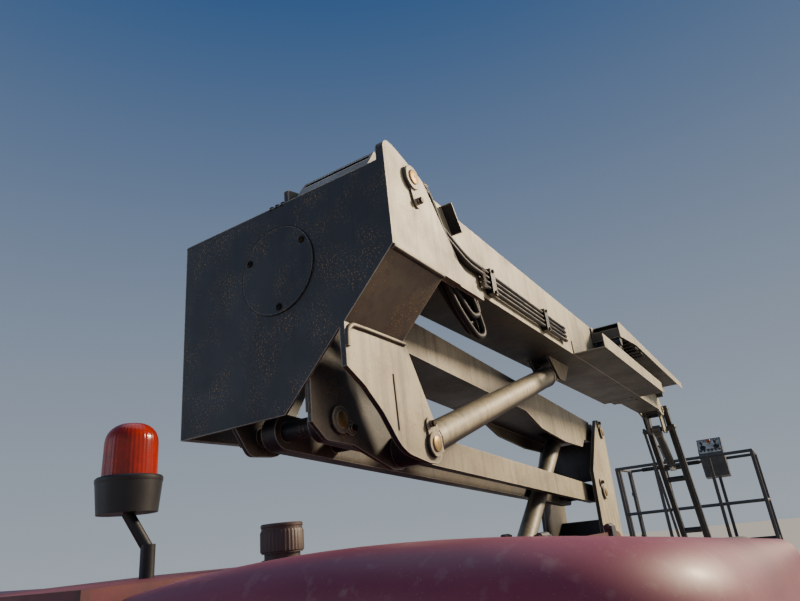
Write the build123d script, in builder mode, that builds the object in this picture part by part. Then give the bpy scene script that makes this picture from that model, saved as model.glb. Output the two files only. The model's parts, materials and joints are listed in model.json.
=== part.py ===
from build123d import *
from math import atan2, cos, degrees, hypot, pi, radians, sin, tan
import os

# Articulated boom lift, as parked: arms folded back over the turntable, boom level, jib down.
# Millimetres. +X points from the tail to the basket, +Y to the machine's left, +Z up.
# The origin is on the ground, under the middle of the whole machine's box.
os.makedirs("parts", exist_ok=True)

# Overall reach from the slewing axis, which sets where the axis lies.
tail_reach = 2130.0
front_reach = 6060.0
slew_x = (tail_reach - front_reach) / 2

# Clearances
running = 0.06
seat = 0.3
side_gap = 6.0

# Ground gear
tyre_radius = 500.0
tyre_width = 360.0
rim_radius = 262.0
rim_wall = 12.0
track_width = 2040.0
wheelbase = 2750.0
spindle_radius = 45.0
kingpin_y = 760.0
kingpin_radius = 32.0
axle_height = tyre_radius
axle_half = 70.0

# Chassis and turntable
frame_half_length = 1560.0
frame_half_width = 430.0
frame_low = 610.0
frame_high = 880.0
frame_wall = 30.0
ring_radius = 430.0
ring_high = 1020.0
deck_low = ring_high + seat
deck_wall = 30.0
deck_high = deck_low + deck_wall
deck_half_width = 470.0
web_high = 1490.0
hood_top = 1560.0
hood_outer = 1190.0
hood_inner = 340.0
hood_wall = 14.0
hood_rear = slew_x - tail_reach + 12.0
hood_front = slew_x + 1180.0

hinge_y = 318.0
hinge_height = hood_top - 40.0
hinge_half = 46.0
hinge_radius = 8.0
hinge_places = (slew_x - 1200.0, slew_x - 100.0, slew_x + 1000.0)

# Arm pins, seen from the side
arm_angle = 3.95
arm_length = 2900.0
mast_low_pin = (slew_x + 1703.0, 1730.0)
pin_offset = (275.0, 430.0)
mast_top_pin = (mast_low_pin[0] + pin_offset[0], mast_low_pin[1] + pin_offset[1])
rear_low_pin = (
    mast_low_pin[0] - arm_length * cos(radians(arm_angle)),
    mast_low_pin[1] + arm_length * sin(radians(arm_angle)),
)
rear_top_pin = (rear_low_pin[0] + pin_offset[0], rear_low_pin[1] + pin_offset[1])
boom_pin = (slew_x - 1172.0, 2680.0)
foot_pin = (slew_x - 860.0, 1853.0)
boom_cylinder_pin = (slew_x + 929.0, 2425.0)
arm_cylinder_base = (slew_x + 190.0, 1190.0)
arm_cylinder_pin = (slew_x + 1535.0, 2165.0)
pin_radius = 32.0

# Lateral places of the arms and the boom
arm_right = -92.0
arm_left = 200.0
arm_half_height = 78.0
arm_wall = 14.0
link_right = (-80.0, -38.0)
link_left = (98.0, 159.0)
link_height = 117.0
mast_right = -126.0
mast_left = 234.0
mast_plate = 24.0
cheek_plate = 16.0
boom_centre_y = -215.0
boom_width = 310.0
boom_low = 2490.0
boom_height = 310.0
boom_wall = 12.0
boom_rear = boom_pin[0] - 105.0
boom_front = slew_x + 2734.0
section_step = 25.0
mid_front = slew_x + 3010.0
tip_front = slew_x + 3963.0
boom_cylinder_y = -178.0
boom_cylinder_radius = 58.0
arm_cylinder_y = 40.0
arm_cylinder_radius = 50.0

# Knuckle, the upright box that joins the arms to the boom
knuckle_half_width = 460.0
knuckle_rear = slew_x - 1324.0
knuckle_low = 1950.0
knuckle_high = 2690.0
knuckle_cut_y = -16.0
knuckle_cut_z = 2389.0
side_wall = 30.0
rear_wall = 8.0

# Jib and basket
head_pin = (slew_x + 4130.0, 2560.0)
jib_pin = (slew_x + 4290.0, 2580.0)
jib_angle = -65.0
jib_length = 1600.0
jib_spacing = 200.0
jib_cylinder_base = (slew_x + 4141.0, 2367.0)
jib_cylinder_along = 640.0
jib_pin_radius = 25.0
rotator_x = slew_x + 5085.0
basket_rear = slew_x + 5250.0
basket_front = slew_x + front_reach
basket_right = -990.0
basket_left = 560.0
basket_floor = 1030.0
basket_rail = 2130.0
rail_radius = 19.0


def plate(points, y_from, y_to, rounds=None, mode=Mode.ADD):
    """Upright plate from an outline of (x, z) points, between two places across the machine.

    rounds gives a radius to some corners, by their place in the list.
    """
    with BuildSketch(Plane.XZ.offset(-y_from)) as outline:
        with BuildLine():
            Polyline(*points, close=True)
        make_face()
        for corner, radius in (rounds or {}).items():
            fillet(outline.vertices().sort_by_distance((*points[corner], 0))[0], radius)
    return extrude(outline.sketch, amount=-(y_to - y_from), mode=mode)


def flat(points, z_from, z_to, mode=Mode.ADD):
    """Level plate from an outline of (x, y) points, between two heights."""
    with BuildSketch(Plane.XY.offset(z_from)) as outline:
        with BuildLine():
            Polyline(*points, close=True)
        make_face()
    return extrude(outline.sketch, amount=z_to - z_from, mode=mode)


def block(x_from, x_to, y_from, y_to, z_from, z_to, mode=Mode.ADD):
    """Box between two corners."""
    with Locations(((x_from + x_to) / 2, (y_from + y_to) / 2, (z_from + z_to) / 2)):
        Box(abs(x_to - x_from), abs(y_to - y_from), abs(z_to - z_from), mode=mode)


def cross_pin(centre, radius, y_from, y_to, mode=Mode.ADD):
    """Round bar across the machine at an (x, z) place."""
    with BuildSketch(Plane.XZ.offset(-y_from)) as section:
        with Locations(centre):
            Circle(radius)
    return extrude(section.sketch, amount=-(y_to - y_from), mode=mode)


def rod(start, end, radius, mode=Mode.ADD):
    """Round bar between two points in space."""
    axis = Vector(*end) - Vector(*start)
    with BuildSketch(Plane(origin=start, z_dir=axis.normalized())) as section:
        Circle(radius)
    return extrude(section.sketch, amount=axis.length, mode=mode)


def side_point(centre, angle, along, across=0.0):
    """Point in the side view, so far along a line at an angle and so far across it."""
    a = radians(angle)
    return (
        centre[0] + along * cos(a) - across * sin(a),
        centre[1] + along * sin(a) + across * cos(a),
    )


def side_beam(centre, angle, along_from, along_to, low, high, y_from, y_to, mode=Mode.ADD):
    """Straight beam at an angle in the side view, measured from a pin."""
    points = [
        side_point(centre, angle, along_from, low),
        side_point(centre, angle, along_to, low),
        side_point(centre, angle, along_to, high),
        side_point(centre, angle, along_from, high),
    ]
    return plate(points, y_from, y_to, mode=mode)


def finish(builder, label):
    builder.part.label = label
    export_step(builder.part, "parts/" + label + ".step")


# Wheels: columns are name, axle's x, side (+1 left), whether it steers
wheels = [
    ("front_left", slew_x + wheelbase / 2, 1, True),
    ("front_right", slew_x + wheelbase / 2, -1, True),
    ("rear_left", slew_x - wheelbase / 2, 1, False),
    ("rear_right", slew_x - wheelbase / 2, -1, False),
]
wheel_half = tyre_width / 2
disc_from = 40.0
disc_wall = 16.0
hub_radius = 95.0
hub_from = -20.0
hub_to = 75.0


def outward(x, side):
    """Plane at a wheel's centre: its normal points away from the machine."""
    return Plane(
        origin=(x, side * track_width / 2, axle_height), x_dir=(1, 0, 0), z_dir=(0, side, 0)
    )


for name, axle_x, side, steers in wheels:
    centre = outward(axle_x, side)
    # The tyre's section is drawn in the plane of its axis, then turned round it.
    section_plane = Plane(origin=centre.origin, x_dir=(1, 0, 0), z_dir=(0, 0, 1))
    with BuildPart() as tyre:
        with BuildSketch(section_plane):
            with BuildLine():
                Polyline(
                    (rim_radius + seat, -wheel_half + 30),
                    (rim_radius + 60, -wheel_half + 4),
                    (tyre_radius - 130, -wheel_half),
                    (tyre_radius - 45, -wheel_half + 8),
                    (tyre_radius, -wheel_half + 52),
                    (tyre_radius, wheel_half - 52),
                    (tyre_radius - 45, wheel_half - 8),
                    (tyre_radius - 130, wheel_half),
                    (rim_radius + 60, wheel_half - 4),
                    (rim_radius + seat, wheel_half - 30),
                    close=True,
                )
            make_face()
        revolve(axis=Axis(centre.origin, (0, 1, 0)))
    finish(tyre, "tyre_" + name)

    with BuildPart() as rim:
        with BuildSketch(centre.offset(-wheel_half + 26)):
            Circle(rim_radius)
            Circle(rim_radius - rim_wall, mode=Mode.SUBTRACT)
        extrude(amount=tyre_width - 52)
        with BuildSketch(centre.offset(disc_from)):
            Circle(rim_radius - rim_wall / 2)
        extrude(amount=disc_wall)
        with BuildSketch(centre.offset(hub_from)):
            Circle(hub_radius)
        extrude(amount=hub_to - hub_from)
        with BuildSketch(centre.offset(hub_from)):
            Circle(spindle_radius + running)
        extrude(amount=hub_to - hub_from - 12, mode=Mode.SUBTRACT)
        with BuildSketch(centre.offset(disc_from)):
            with PolarLocations(165, 8):
                Circle(28)
        extrude(amount=disc_wall, mode=Mode.SUBTRACT)
    finish(rim, "rim_" + name)

# Steering knuckles
fork_gap = 92.0
fork_wall = 26.0
knuckle_boss = 62.0
for name, axle_x, side, steers in wheels:
    if steers:
        with BuildPart() as steer:
            with BuildSketch(Plane.XY.offset(axle_height - fork_gap + side_gap)):
                with Locations((axle_x, side * kingpin_y)):
                    Circle(knuckle_boss)
            extrude(amount=2 * (fork_gap - side_gap))
            with BuildSketch(Plane.XY.offset(axle_height - fork_gap)):
                with Locations((axle_x, side * kingpin_y)):
                    Circle(kingpin_radius + running)
            extrude(amount=2 * fork_gap, mode=Mode.SUBTRACT)
            rod(
                (axle_x, side * (kingpin_y + kingpin_radius + 8), axle_height),
                (axle_x, side * (track_width / 2 + hub_from - 8), axle_height),
                spindle_radius + 22,
            )
            rod(
                (axle_x, side * (track_width / 2 + hub_from - 20), axle_height),
                (axle_x, side * (track_width / 2 + hub_to - 20), axle_height),
                spindle_radius,
            )
        finish(steer, "steering_knuckle_" + name.split("_")[1])

front_x = slew_x + wheelbase / 2
rear_x = slew_x - wheelbase / 2
fork_half = 62.0
with BuildPart() as front_axle:
    beam_end = kingpin_y - knuckle_boss - 12
    block(front_x - axle_half, front_x + axle_half, -beam_end, beam_end,
          axle_height - axle_half, axle_height + axle_half)
    for side in (-1, 1):
        block(front_x - fork_half, front_x + fork_half, side * (beam_end - 70), side * beam_end,
              axle_height - fork_gap - fork_wall, axle_height + fork_gap + fork_wall)
        for low in (axle_height - fork_gap - fork_wall, axle_height + fork_gap):
            block(front_x - fork_half, front_x + fork_half, side * (beam_end - 10),
                  side * (kingpin_y + 45), low, low + fork_wall)
        rod((front_x, side * kingpin_y, axle_height - fork_gap - fork_wall),
            (front_x, side * kingpin_y, axle_height + fork_gap + fork_wall), kingpin_radius)
finish(front_axle, "front_axle")

with BuildPart() as rear_axle:
    beam_end = track_width / 2 + hub_from - 8
    block(rear_x - axle_half, rear_x + axle_half, -kingpin_y, kingpin_y,
          axle_height - axle_half, axle_height + axle_half)
    for side in (-1, 1):
        rod((rear_x, side * (kingpin_y - 40), axle_height), (rear_x, side * beam_end, axle_height),
            spindle_radius + 22)
        rod((rear_x, side * beam_end, axle_height),
            (rear_x, side * (track_width / 2 + hub_to - 20), axle_height), spindle_radius)
finish(rear_axle, "rear_axle")

lug_reach = 55.0
lug_place = 250.0
lug_wall = 25.0
lug_radius = 45.0
lug_hole = 22.0
# Chassis frame: a welded box, open below, with a pad down to each axle
with BuildPart() as chassis:
    nose = 120.0
    outline = [
        (slew_x - frame_half_length, -frame_half_width + nose),
        (slew_x - frame_half_length + nose, -frame_half_width),
        (slew_x + frame_half_length - nose, -frame_half_width),
        (slew_x + frame_half_length, -frame_half_width + nose),
        (slew_x + frame_half_length, frame_half_width - nose),
        (slew_x + frame_half_length - nose, frame_half_width),
        (slew_x - frame_half_length + nose, frame_half_width),
        (slew_x - frame_half_length, frame_half_width - nose),
    ]
    flat(outline, frame_low, frame_high)
    bay_edges = [-frame_half_length + frame_wall / 2, -wheelbase / 2 + 180, -ring_radius, 0.0,
                 ring_radius, wheelbase / 2 - 180, frame_half_length - frame_wall / 2]
    for start, end in zip(bay_edges[:-1], bay_edges[1:]):
        block(slew_x + start + frame_wall / 2, slew_x + end - frame_wall / 2,
              -frame_half_width + nose, frame_half_width - nose,
              frame_low, frame_high - frame_wall, mode=Mode.SUBTRACT)
    for axle_x in (front_x, rear_x):
        block(axle_x - 110, axle_x + 110, -frame_half_width + 60, frame_half_width - 60,
              axle_height + axle_half, frame_low)
    with BuildSketch(Plane.XY.offset(frame_high)):
        with Locations((slew_x, 0)):
            Circle(ring_radius - 30)
    extrude(amount=ring_high - 70 - frame_high)
    # Lashing lugs at the four corners: level eyes at the frame's lower edge
    for end in (-1, 1):
        for side in (-1, 1):
            lug_x = slew_x + end * (frame_half_length + lug_reach)
            inner_x = slew_x + end * (frame_half_length - 5)
            lug_y = side * lug_place
            with BuildSketch(Plane.XY.offset(frame_low)) as lug:
                with Locations((lug_x, lug_y)):
                    Circle(lug_radius)
                with Locations(((inner_x + lug_x) / 2, lug_y)):
                    Rectangle(abs(lug_x - inner_x), 2 * lug_radius)
                with Locations((lug_x, lug_y)):
                    Circle(lug_hole, mode=Mode.SUBTRACT)
            extrude(lug.sketch, amount=lug_wall)
finish(chassis, "chassis_frame")

with BuildPart() as slew_ring:
    with BuildSketch(Plane.XY.offset(ring_high - 70)):
        with Locations((slew_x, 0)):
            Circle(ring_radius)
            Circle(ring_radius - 90, mode=Mode.SUBTRACT)
    extrude(amount=70)
finish(slew_ring, "slew_ring")

# Turntable: deck plate with two long webs, side trays, and ears for the arm cylinder's foot
deck_rear = slew_x - 1500.0
deck_front = slew_x + 2060.0
web_front = slew_x + 1180.0
tray_low = deck_low + 8.0
tray_high = tray_low + 20.0
hood_low = deck_high + seat
web_outer = hood_inner - 20.0
with BuildPart() as turntable:
    flat([(deck_rear, -deck_half_width), (deck_front - 300, -deck_half_width),
          (deck_front, -deck_half_width + 180), (deck_front, deck_half_width - 100),
          (deck_front - 220, deck_half_width), (deck_rear, deck_half_width)], deck_low, deck_high)
    for side in (-1, 1):
        outline = [(deck_rear, deck_high), (web_front + 500, deck_high),
                   (web_front + 500, deck_high + 40), (web_front, web_high), (deck_rear, web_high)]
        web_y = sorted((side * web_outer, side * (web_outer - 20)))
        plate(outline, *web_y, rounds={2: 20, 3: 120})
        tray_y = sorted((side * (deck_half_width - 10), side * (hood_outer - 25)))
        block(deck_rear, web_front - 10, *tray_y, tray_low, tray_high)
    for y_from in (arm_cylinder_y - arm_cylinder_radius - 34, arm_cylinder_y + arm_cylinder_radius + 14):
        x, z = arm_cylinder_base
        plate([(x - 170, deck_high), (x + 150, deck_high), (x + 70, z + 62), (x - 70, z + 62)],
              y_from, y_from + 20, rounds={2: 55, 3: 55})
    cross_pin(arm_cylinder_base, pin_radius, arm_cylinder_y - arm_cylinder_radius - 42,
              arm_cylinder_y + arm_cylinder_radius + 42)
    # Hinge pins of the hoods, each held between two ears on the web's top
    for side in (-1, 1):
        ear_y = sorted((side * (web_outer - 20), side * (hinge_y + hinge_radius - 1)))
        for x in hinge_places:
            for ear_x in (x - hinge_half - 12, x + hinge_half + 2):
                block(ear_x, ear_x + 10, *ear_y, web_high - 60, hinge_height + hinge_radius)
            rod((x - hinge_half - 12, side * hinge_y, hinge_height),
                (x + hinge_half + 12, side * hinge_y, hinge_height), hinge_radius)
finish(turntable, "turntable_frame")

# Mast: two plates with the arms' front pins, joined by a louvred rear sheet and a front sheet
with BuildPart() as mast:
    x1, z1 = mast_top_pin
    x2, z2 = mast_low_pin
    outline = [
        (slew_x + 1430, deck_high), (slew_x + 1500, 1430), (slew_x + 1562, 1871),
        (slew_x + 1860, 2190), (x1 - 60, z1 + 88), (x1 + 50, z1 + 88), (x1 + 105, z1 + 20),
        (slew_x + 1968, 1401), (slew_x + 2040, deck_high),
    ]
    for y_from in (mast_right - mast_plate, mast_left):
        plate(outline, y_from, y_from + mast_plate)
    block(slew_x + 1860, slew_x + 1884, mast_right, mast_left, deck_high, 1560)
    for centre in (mast_top_pin, mast_low_pin):
        cross_pin(centre, pin_radius, mast_right, mast_left)
        for y_from in (mast_right - mast_plate - 14, mast_left + mast_plate):
            cross_pin(centre, pin_radius + 10, y_from, y_from + 14)
finish(mast, "mast")

# Counterweight: one casting that closes the tail, with a raised middle between the webs
weight_low = ring_high + 10.0
weight_high = tray_high
with BuildPart() as counterweight:
    tail_x = slew_x - tail_reach
    weight_front = deck_rear - seat
    outline = [
        (tail_x + 420, -1150), (tail_x + 130, -1080), (tail_x + 20, -760), (tail_x, -380),
        (tail_x, 380), (tail_x + 20, 760), (tail_x + 130, 1080), (tail_x + 420, 1150),
        (weight_front, 1150), (weight_front, -1150),
    ]
    flat(outline, weight_low, weight_high)
    block(tail_x + 12, weight_front, -web_outer, web_outer, weight_high, web_high + 50)
finish(counterweight, "counterweight")

# Hoods: crowned shells over the engine and the tanks, hinged at their inner top edges
for label, side in (("hood_right", -1), ("hood_left", 1)):
    with BuildPart() as hood:
        for inset in (0.0, hood_wall):
            outer = hood_outer - inset
            inner = hood_inner if inset == 0.0 else hood_inner - 30
            top = hood_top - inset
            low = hood_low if inset == 0.0 else hood_low - 10
            with BuildSketch(Plane.YZ.offset(hood_rear + inset)) as section:
                with BuildLine():
                    Polyline((side * inner, low), (side * outer, low), (side * outer, top - 170),
                             (side * (outer - 55), top - 70), (side * (outer - 200), top - 14),
                             (side * (outer - 420), top), (side * (hood_inner + 60), top - 6),
                             (side * inner, top - 40), close=True)
                make_face()
            extrude(section.sketch, amount=hood_front - hood_rear - 2 * inset,
                    mode=Mode.ADD if inset == 0.0 else Mode.SUBTRACT)
        for x in hinge_places:
            start = (x - hinge_half, side * hinge_y, hinge_height)
            end = (x + hinge_half, side * hinge_y, hinge_height)
            rod(start, end, hinge_radius + 7)
            leaf_y = sorted((side * hinge_y, side * (hood_inner + 20)))
            block(x - hinge_half, x + hinge_half, *leaf_y, hinge_height - 4, hinge_height + 8)
            rod(start, end, hinge_radius + running, mode=Mode.SUBTRACT)
    finish(hood, label)

# Engine and tank, plain blocks on the side trays
blocks = [
    ("engine_block", slew_x - 1250.0, slew_x + 250.0, -1080.0, -520.0, 1440.0),
    ("tank_block", slew_x - 1250.0, slew_x + 700.0, 520.0, 1080.0, 1400.0),
]
for label, x_from, x_to, y_from, y_to, top in blocks:
    with BuildPart() as body:
        block(x_from, x_to, y_from, y_to, tray_high, top)
        fillet(body.edges().filter_by(Axis.X).group_by(Axis.Z)[-1], 60)
    finish(body, label)

# Filler neck and beacon on the middle of the tail
cap_at = (slew_x - 1608.0, -253.0)
with BuildPart() as filler:
    with BuildSketch(Plane.XY.offset(web_high + 50)):
        with Locations(cap_at):
            Circle(40)
    extrude(amount=22)
    with BuildSketch(Plane.XY.offset(web_high + 72)):
        with Locations(cap_at):
            Circle(46)
    extrude(amount=62)
finish(filler, "filler_cap")
beacon_at = (slew_x - 1800.0, 40.0)
beacon_base = 1680.0
with BuildPart() as beacon:
    foot = web_high + 50
    rod((beacon_at[0] + 30, beacon_at[1] - 40, foot), (beacon_at[0] + 30, beacon_at[1] - 40, foot + 70), 16)
    rod((beacon_at[0] + 30, beacon_at[1] - 40, foot + 60), (*beacon_at, beacon_base + 2), 13)
    with BuildSketch(Plane.XY.offset(beacon_base)):
        with Locations(beacon_at):
            Circle(66)
    extrude(amount=70, taper=-6)
finish(beacon, "beacon_stalk")
with BuildPart() as lens:
    with BuildSketch(Plane.XY.offset(beacon_base + 70 + seat)):
        with Locations(beacon_at):
            Circle(62)
    extrude(amount=138, taper=3)
    fillet(lens.edges().group_by(Axis.Z)[-1], 44)
finish(lens, "beacon_lens")

# Upper arm: a box beam with an eye at each end and side plates that hold the arm cylinder's rod
arm_along = -arm_angle
rod_eye_gap = 14.0
with BuildPart() as upper_arm:
    side_beam(rear_top_pin, arm_along, 60, arm_length - 60, -arm_half_height, arm_half_height,
              arm_right, arm_left)
    side_beam(rear_top_pin, arm_along, 60 + arm_wall, arm_length - 60 - arm_wall,
              -arm_half_height + arm_wall, arm_half_height - arm_wall,
              arm_right + arm_wall, arm_left - arm_wall, mode=Mode.SUBTRACT)
    eye_along = hypot(arm_cylinder_pin[0] - rear_top_pin[0], arm_cylinder_pin[1] - rear_top_pin[1])
    side_beam(rear_top_pin, arm_along, eye_along - 260, eye_along + 130, -arm_half_height - 1,
              -arm_half_height + arm_wall + 1, arm_cylinder_y - arm_cylinder_radius - rod_eye_gap,
              arm_cylinder_y + arm_cylinder_radius + rod_eye_gap, mode=Mode.SUBTRACT)
    for y_from in (arm_right, arm_left - arm_wall):
        belly = [(-1370, -arm_half_height), (-1130, -140), (-700, -158), (-330, -140),
                 (-250, -arm_half_height + 10), (-1370, -arm_half_height + 10)]
        plate([side_point(mast_top_pin, arm_along, along, across) for along, across in belly],
              y_from, y_from + arm_wall, rounds={1: 200, 3: 30})
    eye_gap = arm_cylinder_radius - 10 + side_gap
    cross_pin(arm_cylinder_pin, 26, arm_right, arm_cylinder_y - eye_gap)
    cross_pin(arm_cylinder_pin, 26, arm_cylinder_y + eye_gap, arm_left)
    for centre in (rear_top_pin, mast_top_pin):
        cross_pin(centre, arm_half_height - 4, arm_right, arm_left)
        cross_pin(centre, pin_radius + running, arm_right, arm_left, mode=Mode.SUBTRACT)
finish(upper_arm, "upper_arm")

# Lower link: two bars side by side, the arm cylinder between them, joined by cross tubes
with BuildPart() as lower_link:
    for y_from, y_to in (link_right, link_left):
        half = link_height / 2
        side_beam(rear_low_pin, arm_along, 0, arm_length, -half, half, y_from, y_to)
        for centre in (rear_low_pin, mast_low_pin):
            cross_pin(centre, half, y_from, y_to)
    for along in (260.0, arm_length - 190.0):
        cross_pin(side_point(rear_low_pin, arm_along, along), 34, link_right[1], link_left[0])
    cross_pin(rear_low_pin, pin_radius + 0.5, link_right[0], link_left[1], mode=Mode.SUBTRACT)
    cross_pin(mast_low_pin, pin_radius + running, link_right[0], link_left[1], mode=Mode.SUBTRACT)
finish(lower_link, "lower_link")

# Knuckle: rear plate cut at its lower right, side plates, cheeks for the arms, ears for the pins
ear_right = -262.0
ear_left = -242.0
with BuildPart() as knuckle:
    half = knuckle_half_width
    rear_in = knuckle_rear + rear_wall
    with BuildSketch(Plane.YZ.offset(knuckle_rear)) as rear:
        with BuildLine():
            Polyline((-half, knuckle_cut_z), (-half, knuckle_high), (half, knuckle_high),
                     (half, knuckle_low), (knuckle_cut_y, knuckle_low), close=True)
        make_face()
    extrude(rear.sketch, amount=rear_wall)
    # Right side plate, with the boom pin's ear at its top
    plate([(knuckle_rear, knuckle_cut_z - 6), (knuckle_rear, 2765), (slew_x - 1262, 2765),
           (boom_pin[0] + 92, 2720), (slew_x - 903, 2514), (slew_x - 870, knuckle_cut_z - 6)],
          -half, -half + side_wall, rounds={1: 36, 2: 40, 3: 60})
    plate([(slew_x - 903, knuckle_cut_z - 6), (slew_x - 903, 2500), (slew_x - 670, knuckle_cut_z + 6),
           (slew_x - 670, knuckle_cut_z - 6)], -half + 4, -half + side_wall - 8)
    # Left side plate
    plate([(knuckle_rear, knuckle_low), (knuckle_rear, knuckle_high), (slew_x - 960, knuckle_high),
           (slew_x - 870, 2420), (slew_x - 1010, knuckle_low)], half - side_wall, half,
          rounds={2: 60, 3: 80})
    # Bevel plate along the cut, from the side plate down to the cylinder's outer ear
    slope = (knuckle_cut_z - knuckle_low) / (knuckle_cut_y + half)
    bevel_low = knuckle_cut_z - slope * (ear_right + half)
    with BuildSketch(Plane.YZ.offset(knuckle_rear)) as bevel:
        with BuildLine():
            Polyline((-half, knuckle_cut_z - 6), (-half, knuckle_cut_z + 12),
                     (ear_left, bevel_low - slope * (ear_left - ear_right) + 18),
                     (ear_left, bevel_low - slope * (ear_left - ear_right) - 0),
                     (ear_right, bevel_low - 6), close=True)
        make_face()
    extrude(bevel.sketch, amount=-(knuckle_rear - (slew_x - 1000.0)))
    # Outer ear for the boom cylinder's foot
    plate([(knuckle_rear, bevel_low + 6), (knuckle_rear, 2050), (slew_x - 1240, 2004),
           (slew_x - 1150, 1932), (foot_pin[0] - 190, foot_pin[1] - 34),
           (foot_pin[0] - 30, foot_pin[1] - 62), (foot_pin[0] + 58, foot_pin[1] - 62),
           (foot_pin[0] + 66, foot_pin[1] + 20), (slew_x - 981, bevel_low + 6)],
          ear_right, ear_left, rounds={2: 150, 3: 120, 4: 160, 5: 60, 6: 52, 7: 60})
    # Cheeks that carry the arms' rear pins; the right one is also the foot's inner ear
    cheek_right = arm_right - 6.0 - cheek_plate
    plate([(rear_in, 1915), (rear_low_pin[0] - 60, rear_low_pin[1] - 66),
           (rear_low_pin[0] + 80, rear_low_pin[1] - 72), (foot_pin[0] - 30, foot_pin[1] - 62),
           (foot_pin[0] + 62, foot_pin[1] - 62), (foot_pin[0] + 66, foot_pin[1] + 40),
           (rear_top_pin[0] + 78, rear_top_pin[1] - 40), (rear_top_pin[0] + 70, 2440), (rear_in, 2440)],
          cheek_right, cheek_right + cheek_plate, rounds={1: 40, 4: 50, 6: 60, 7: 60})
    cheek_left = arm_left + 6.0
    plate([(rear_in, 1950), (rear_low_pin[0] - 60, rear_low_pin[1] - 66),
           (rear_low_pin[0] + 80, rear_low_pin[1] - 60), (rear_top_pin[0] + 78, rear_top_pin[1] - 60),
           (rear_top_pin[0] + 70, 2440), (rear_in, 2440)],
          cheek_left, cheek_left + cheek_plate, rounds={1: 40, 2: 60, 3: 80, 4: 60})
    # Shelf that ties the cheeks to both side plates, under the boom
    block(rear_in, slew_x - 1180, -half + side_wall, half - side_wall, 2440, 2456)
    # Inner plate for the boom pin's left end
    boom_left = boom_centre_y + boom_width / 2
    plate([(rear_in, 2456), (rear_in, 2740), (boom_pin[0] - 30, 2765), (boom_pin[0] + 70, 2730),
           (slew_x - 960, 2456)], boom_left + side_gap, boom_left + side_gap + 20,
          rounds={2: 60, 3: 50})
    for centre, y_from, y_to in (
        (rear_low_pin, cheek_right - 10, cheek_left + cheek_plate + 10),
        (rear_top_pin, cheek_right - 10, cheek_left + cheek_plate + 10),
        (foot_pin, ear_right - 12, cheek_right + cheek_plate),
        (boom_pin, -half - 10, boom_left + side_gap + 30),
    ):
        cross_pin(centre, pin_radius, y_from, y_to)
    cross_pin(boom_pin, 62, -half + side_wall, boom_centre_y - boom_width / 2 - side_gap)
finish(knuckle, "knuckle_box")
with BuildPart() as cover:
    with BuildSketch(Plane.YZ.offset(knuckle_rear - 4 - seat)):
        with Locations((0, 2443)):
            Circle(158)
    extrude(amount=4)
finish(cover, "knuckle_cover")


def cylinder_pair(name, base, eye, y, barrel_radius, rod_radius, foot, gland, gap, base_pin):
    """Hydraulic cylinder: a barrel pinned at base, and its rod with piston and eye.

    foot and gland are the places along the axis where the barrel starts and ends.
    gap is what its eyes are narrower by than the barrel, and base_pin the radius of its pin.
    """
    length = hypot(eye[0] - base[0], eye[1] - base[1])
    angle = degrees(atan2(eye[1] - base[1], eye[0] - base[0]))

    def at(along):
        x, z = side_point(base, angle, along)
        return (x, y, z)

    eye_half = barrel_radius - gap
    with BuildPart() as barrel:
        rod(at(foot), at(gland), barrel_radius)
        rod(at(foot + 34), at(gland - 50), barrel_radius - 10, mode=Mode.SUBTRACT)
        rod(at(foot + 34), at(gland + 1), rod_radius + running, mode=Mode.SUBTRACT)
        ring = base_pin * 1.75
        cross_pin(base, ring, y - eye_half, y + eye_half)
        side_beam(base, angle, 0, foot + 6, 6 - ring, ring - 6, y - eye_half, y + eye_half)
        cross_pin(base, base_pin + running, y - eye_half, y + eye_half, mode=Mode.SUBTRACT)
    finish(barrel, name + "_barrel")
    with BuildPart() as piston:
        piston_rear = foot + 36
        rod(at(piston_rear), at(length - rod_radius), rod_radius)
        rod(at(piston_rear), at(piston_rear + 0.6 * barrel_radius), barrel_radius - 10 - running)
        cross_pin(eye, rod_radius + 10, y - eye_half + 8, y + eye_half - 8)
    finish(piston, name + "_rod")


cylinder_pair("boom_cylinder", foot_pin, boom_cylinder_pin, boom_cylinder_y, boom_cylinder_radius,
              34.0, 120.0, 1770.0, 4.0, pin_radius)
cylinder_pair("arm_cylinder", arm_cylinder_base, arm_cylinder_pin, arm_cylinder_y,
              arm_cylinder_radius, 32.0, 110.0, 1500.0, 2.0, pin_radius)

# Boom: three box sections, each sliding in the one before on pads at its rear and front
boom_middle = boom_low + boom_height / 2
boom_half = boom_width / 2
pad_length = 90.0


def square_tube(x_from, x_to, half, mode=Mode.ADD):
    """Length of square bar about the boom's centre line."""
    block(x_from, x_to, boom_centre_y - half, boom_centre_y + half,
          boom_middle - half, boom_middle + half, mode=mode)


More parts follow.
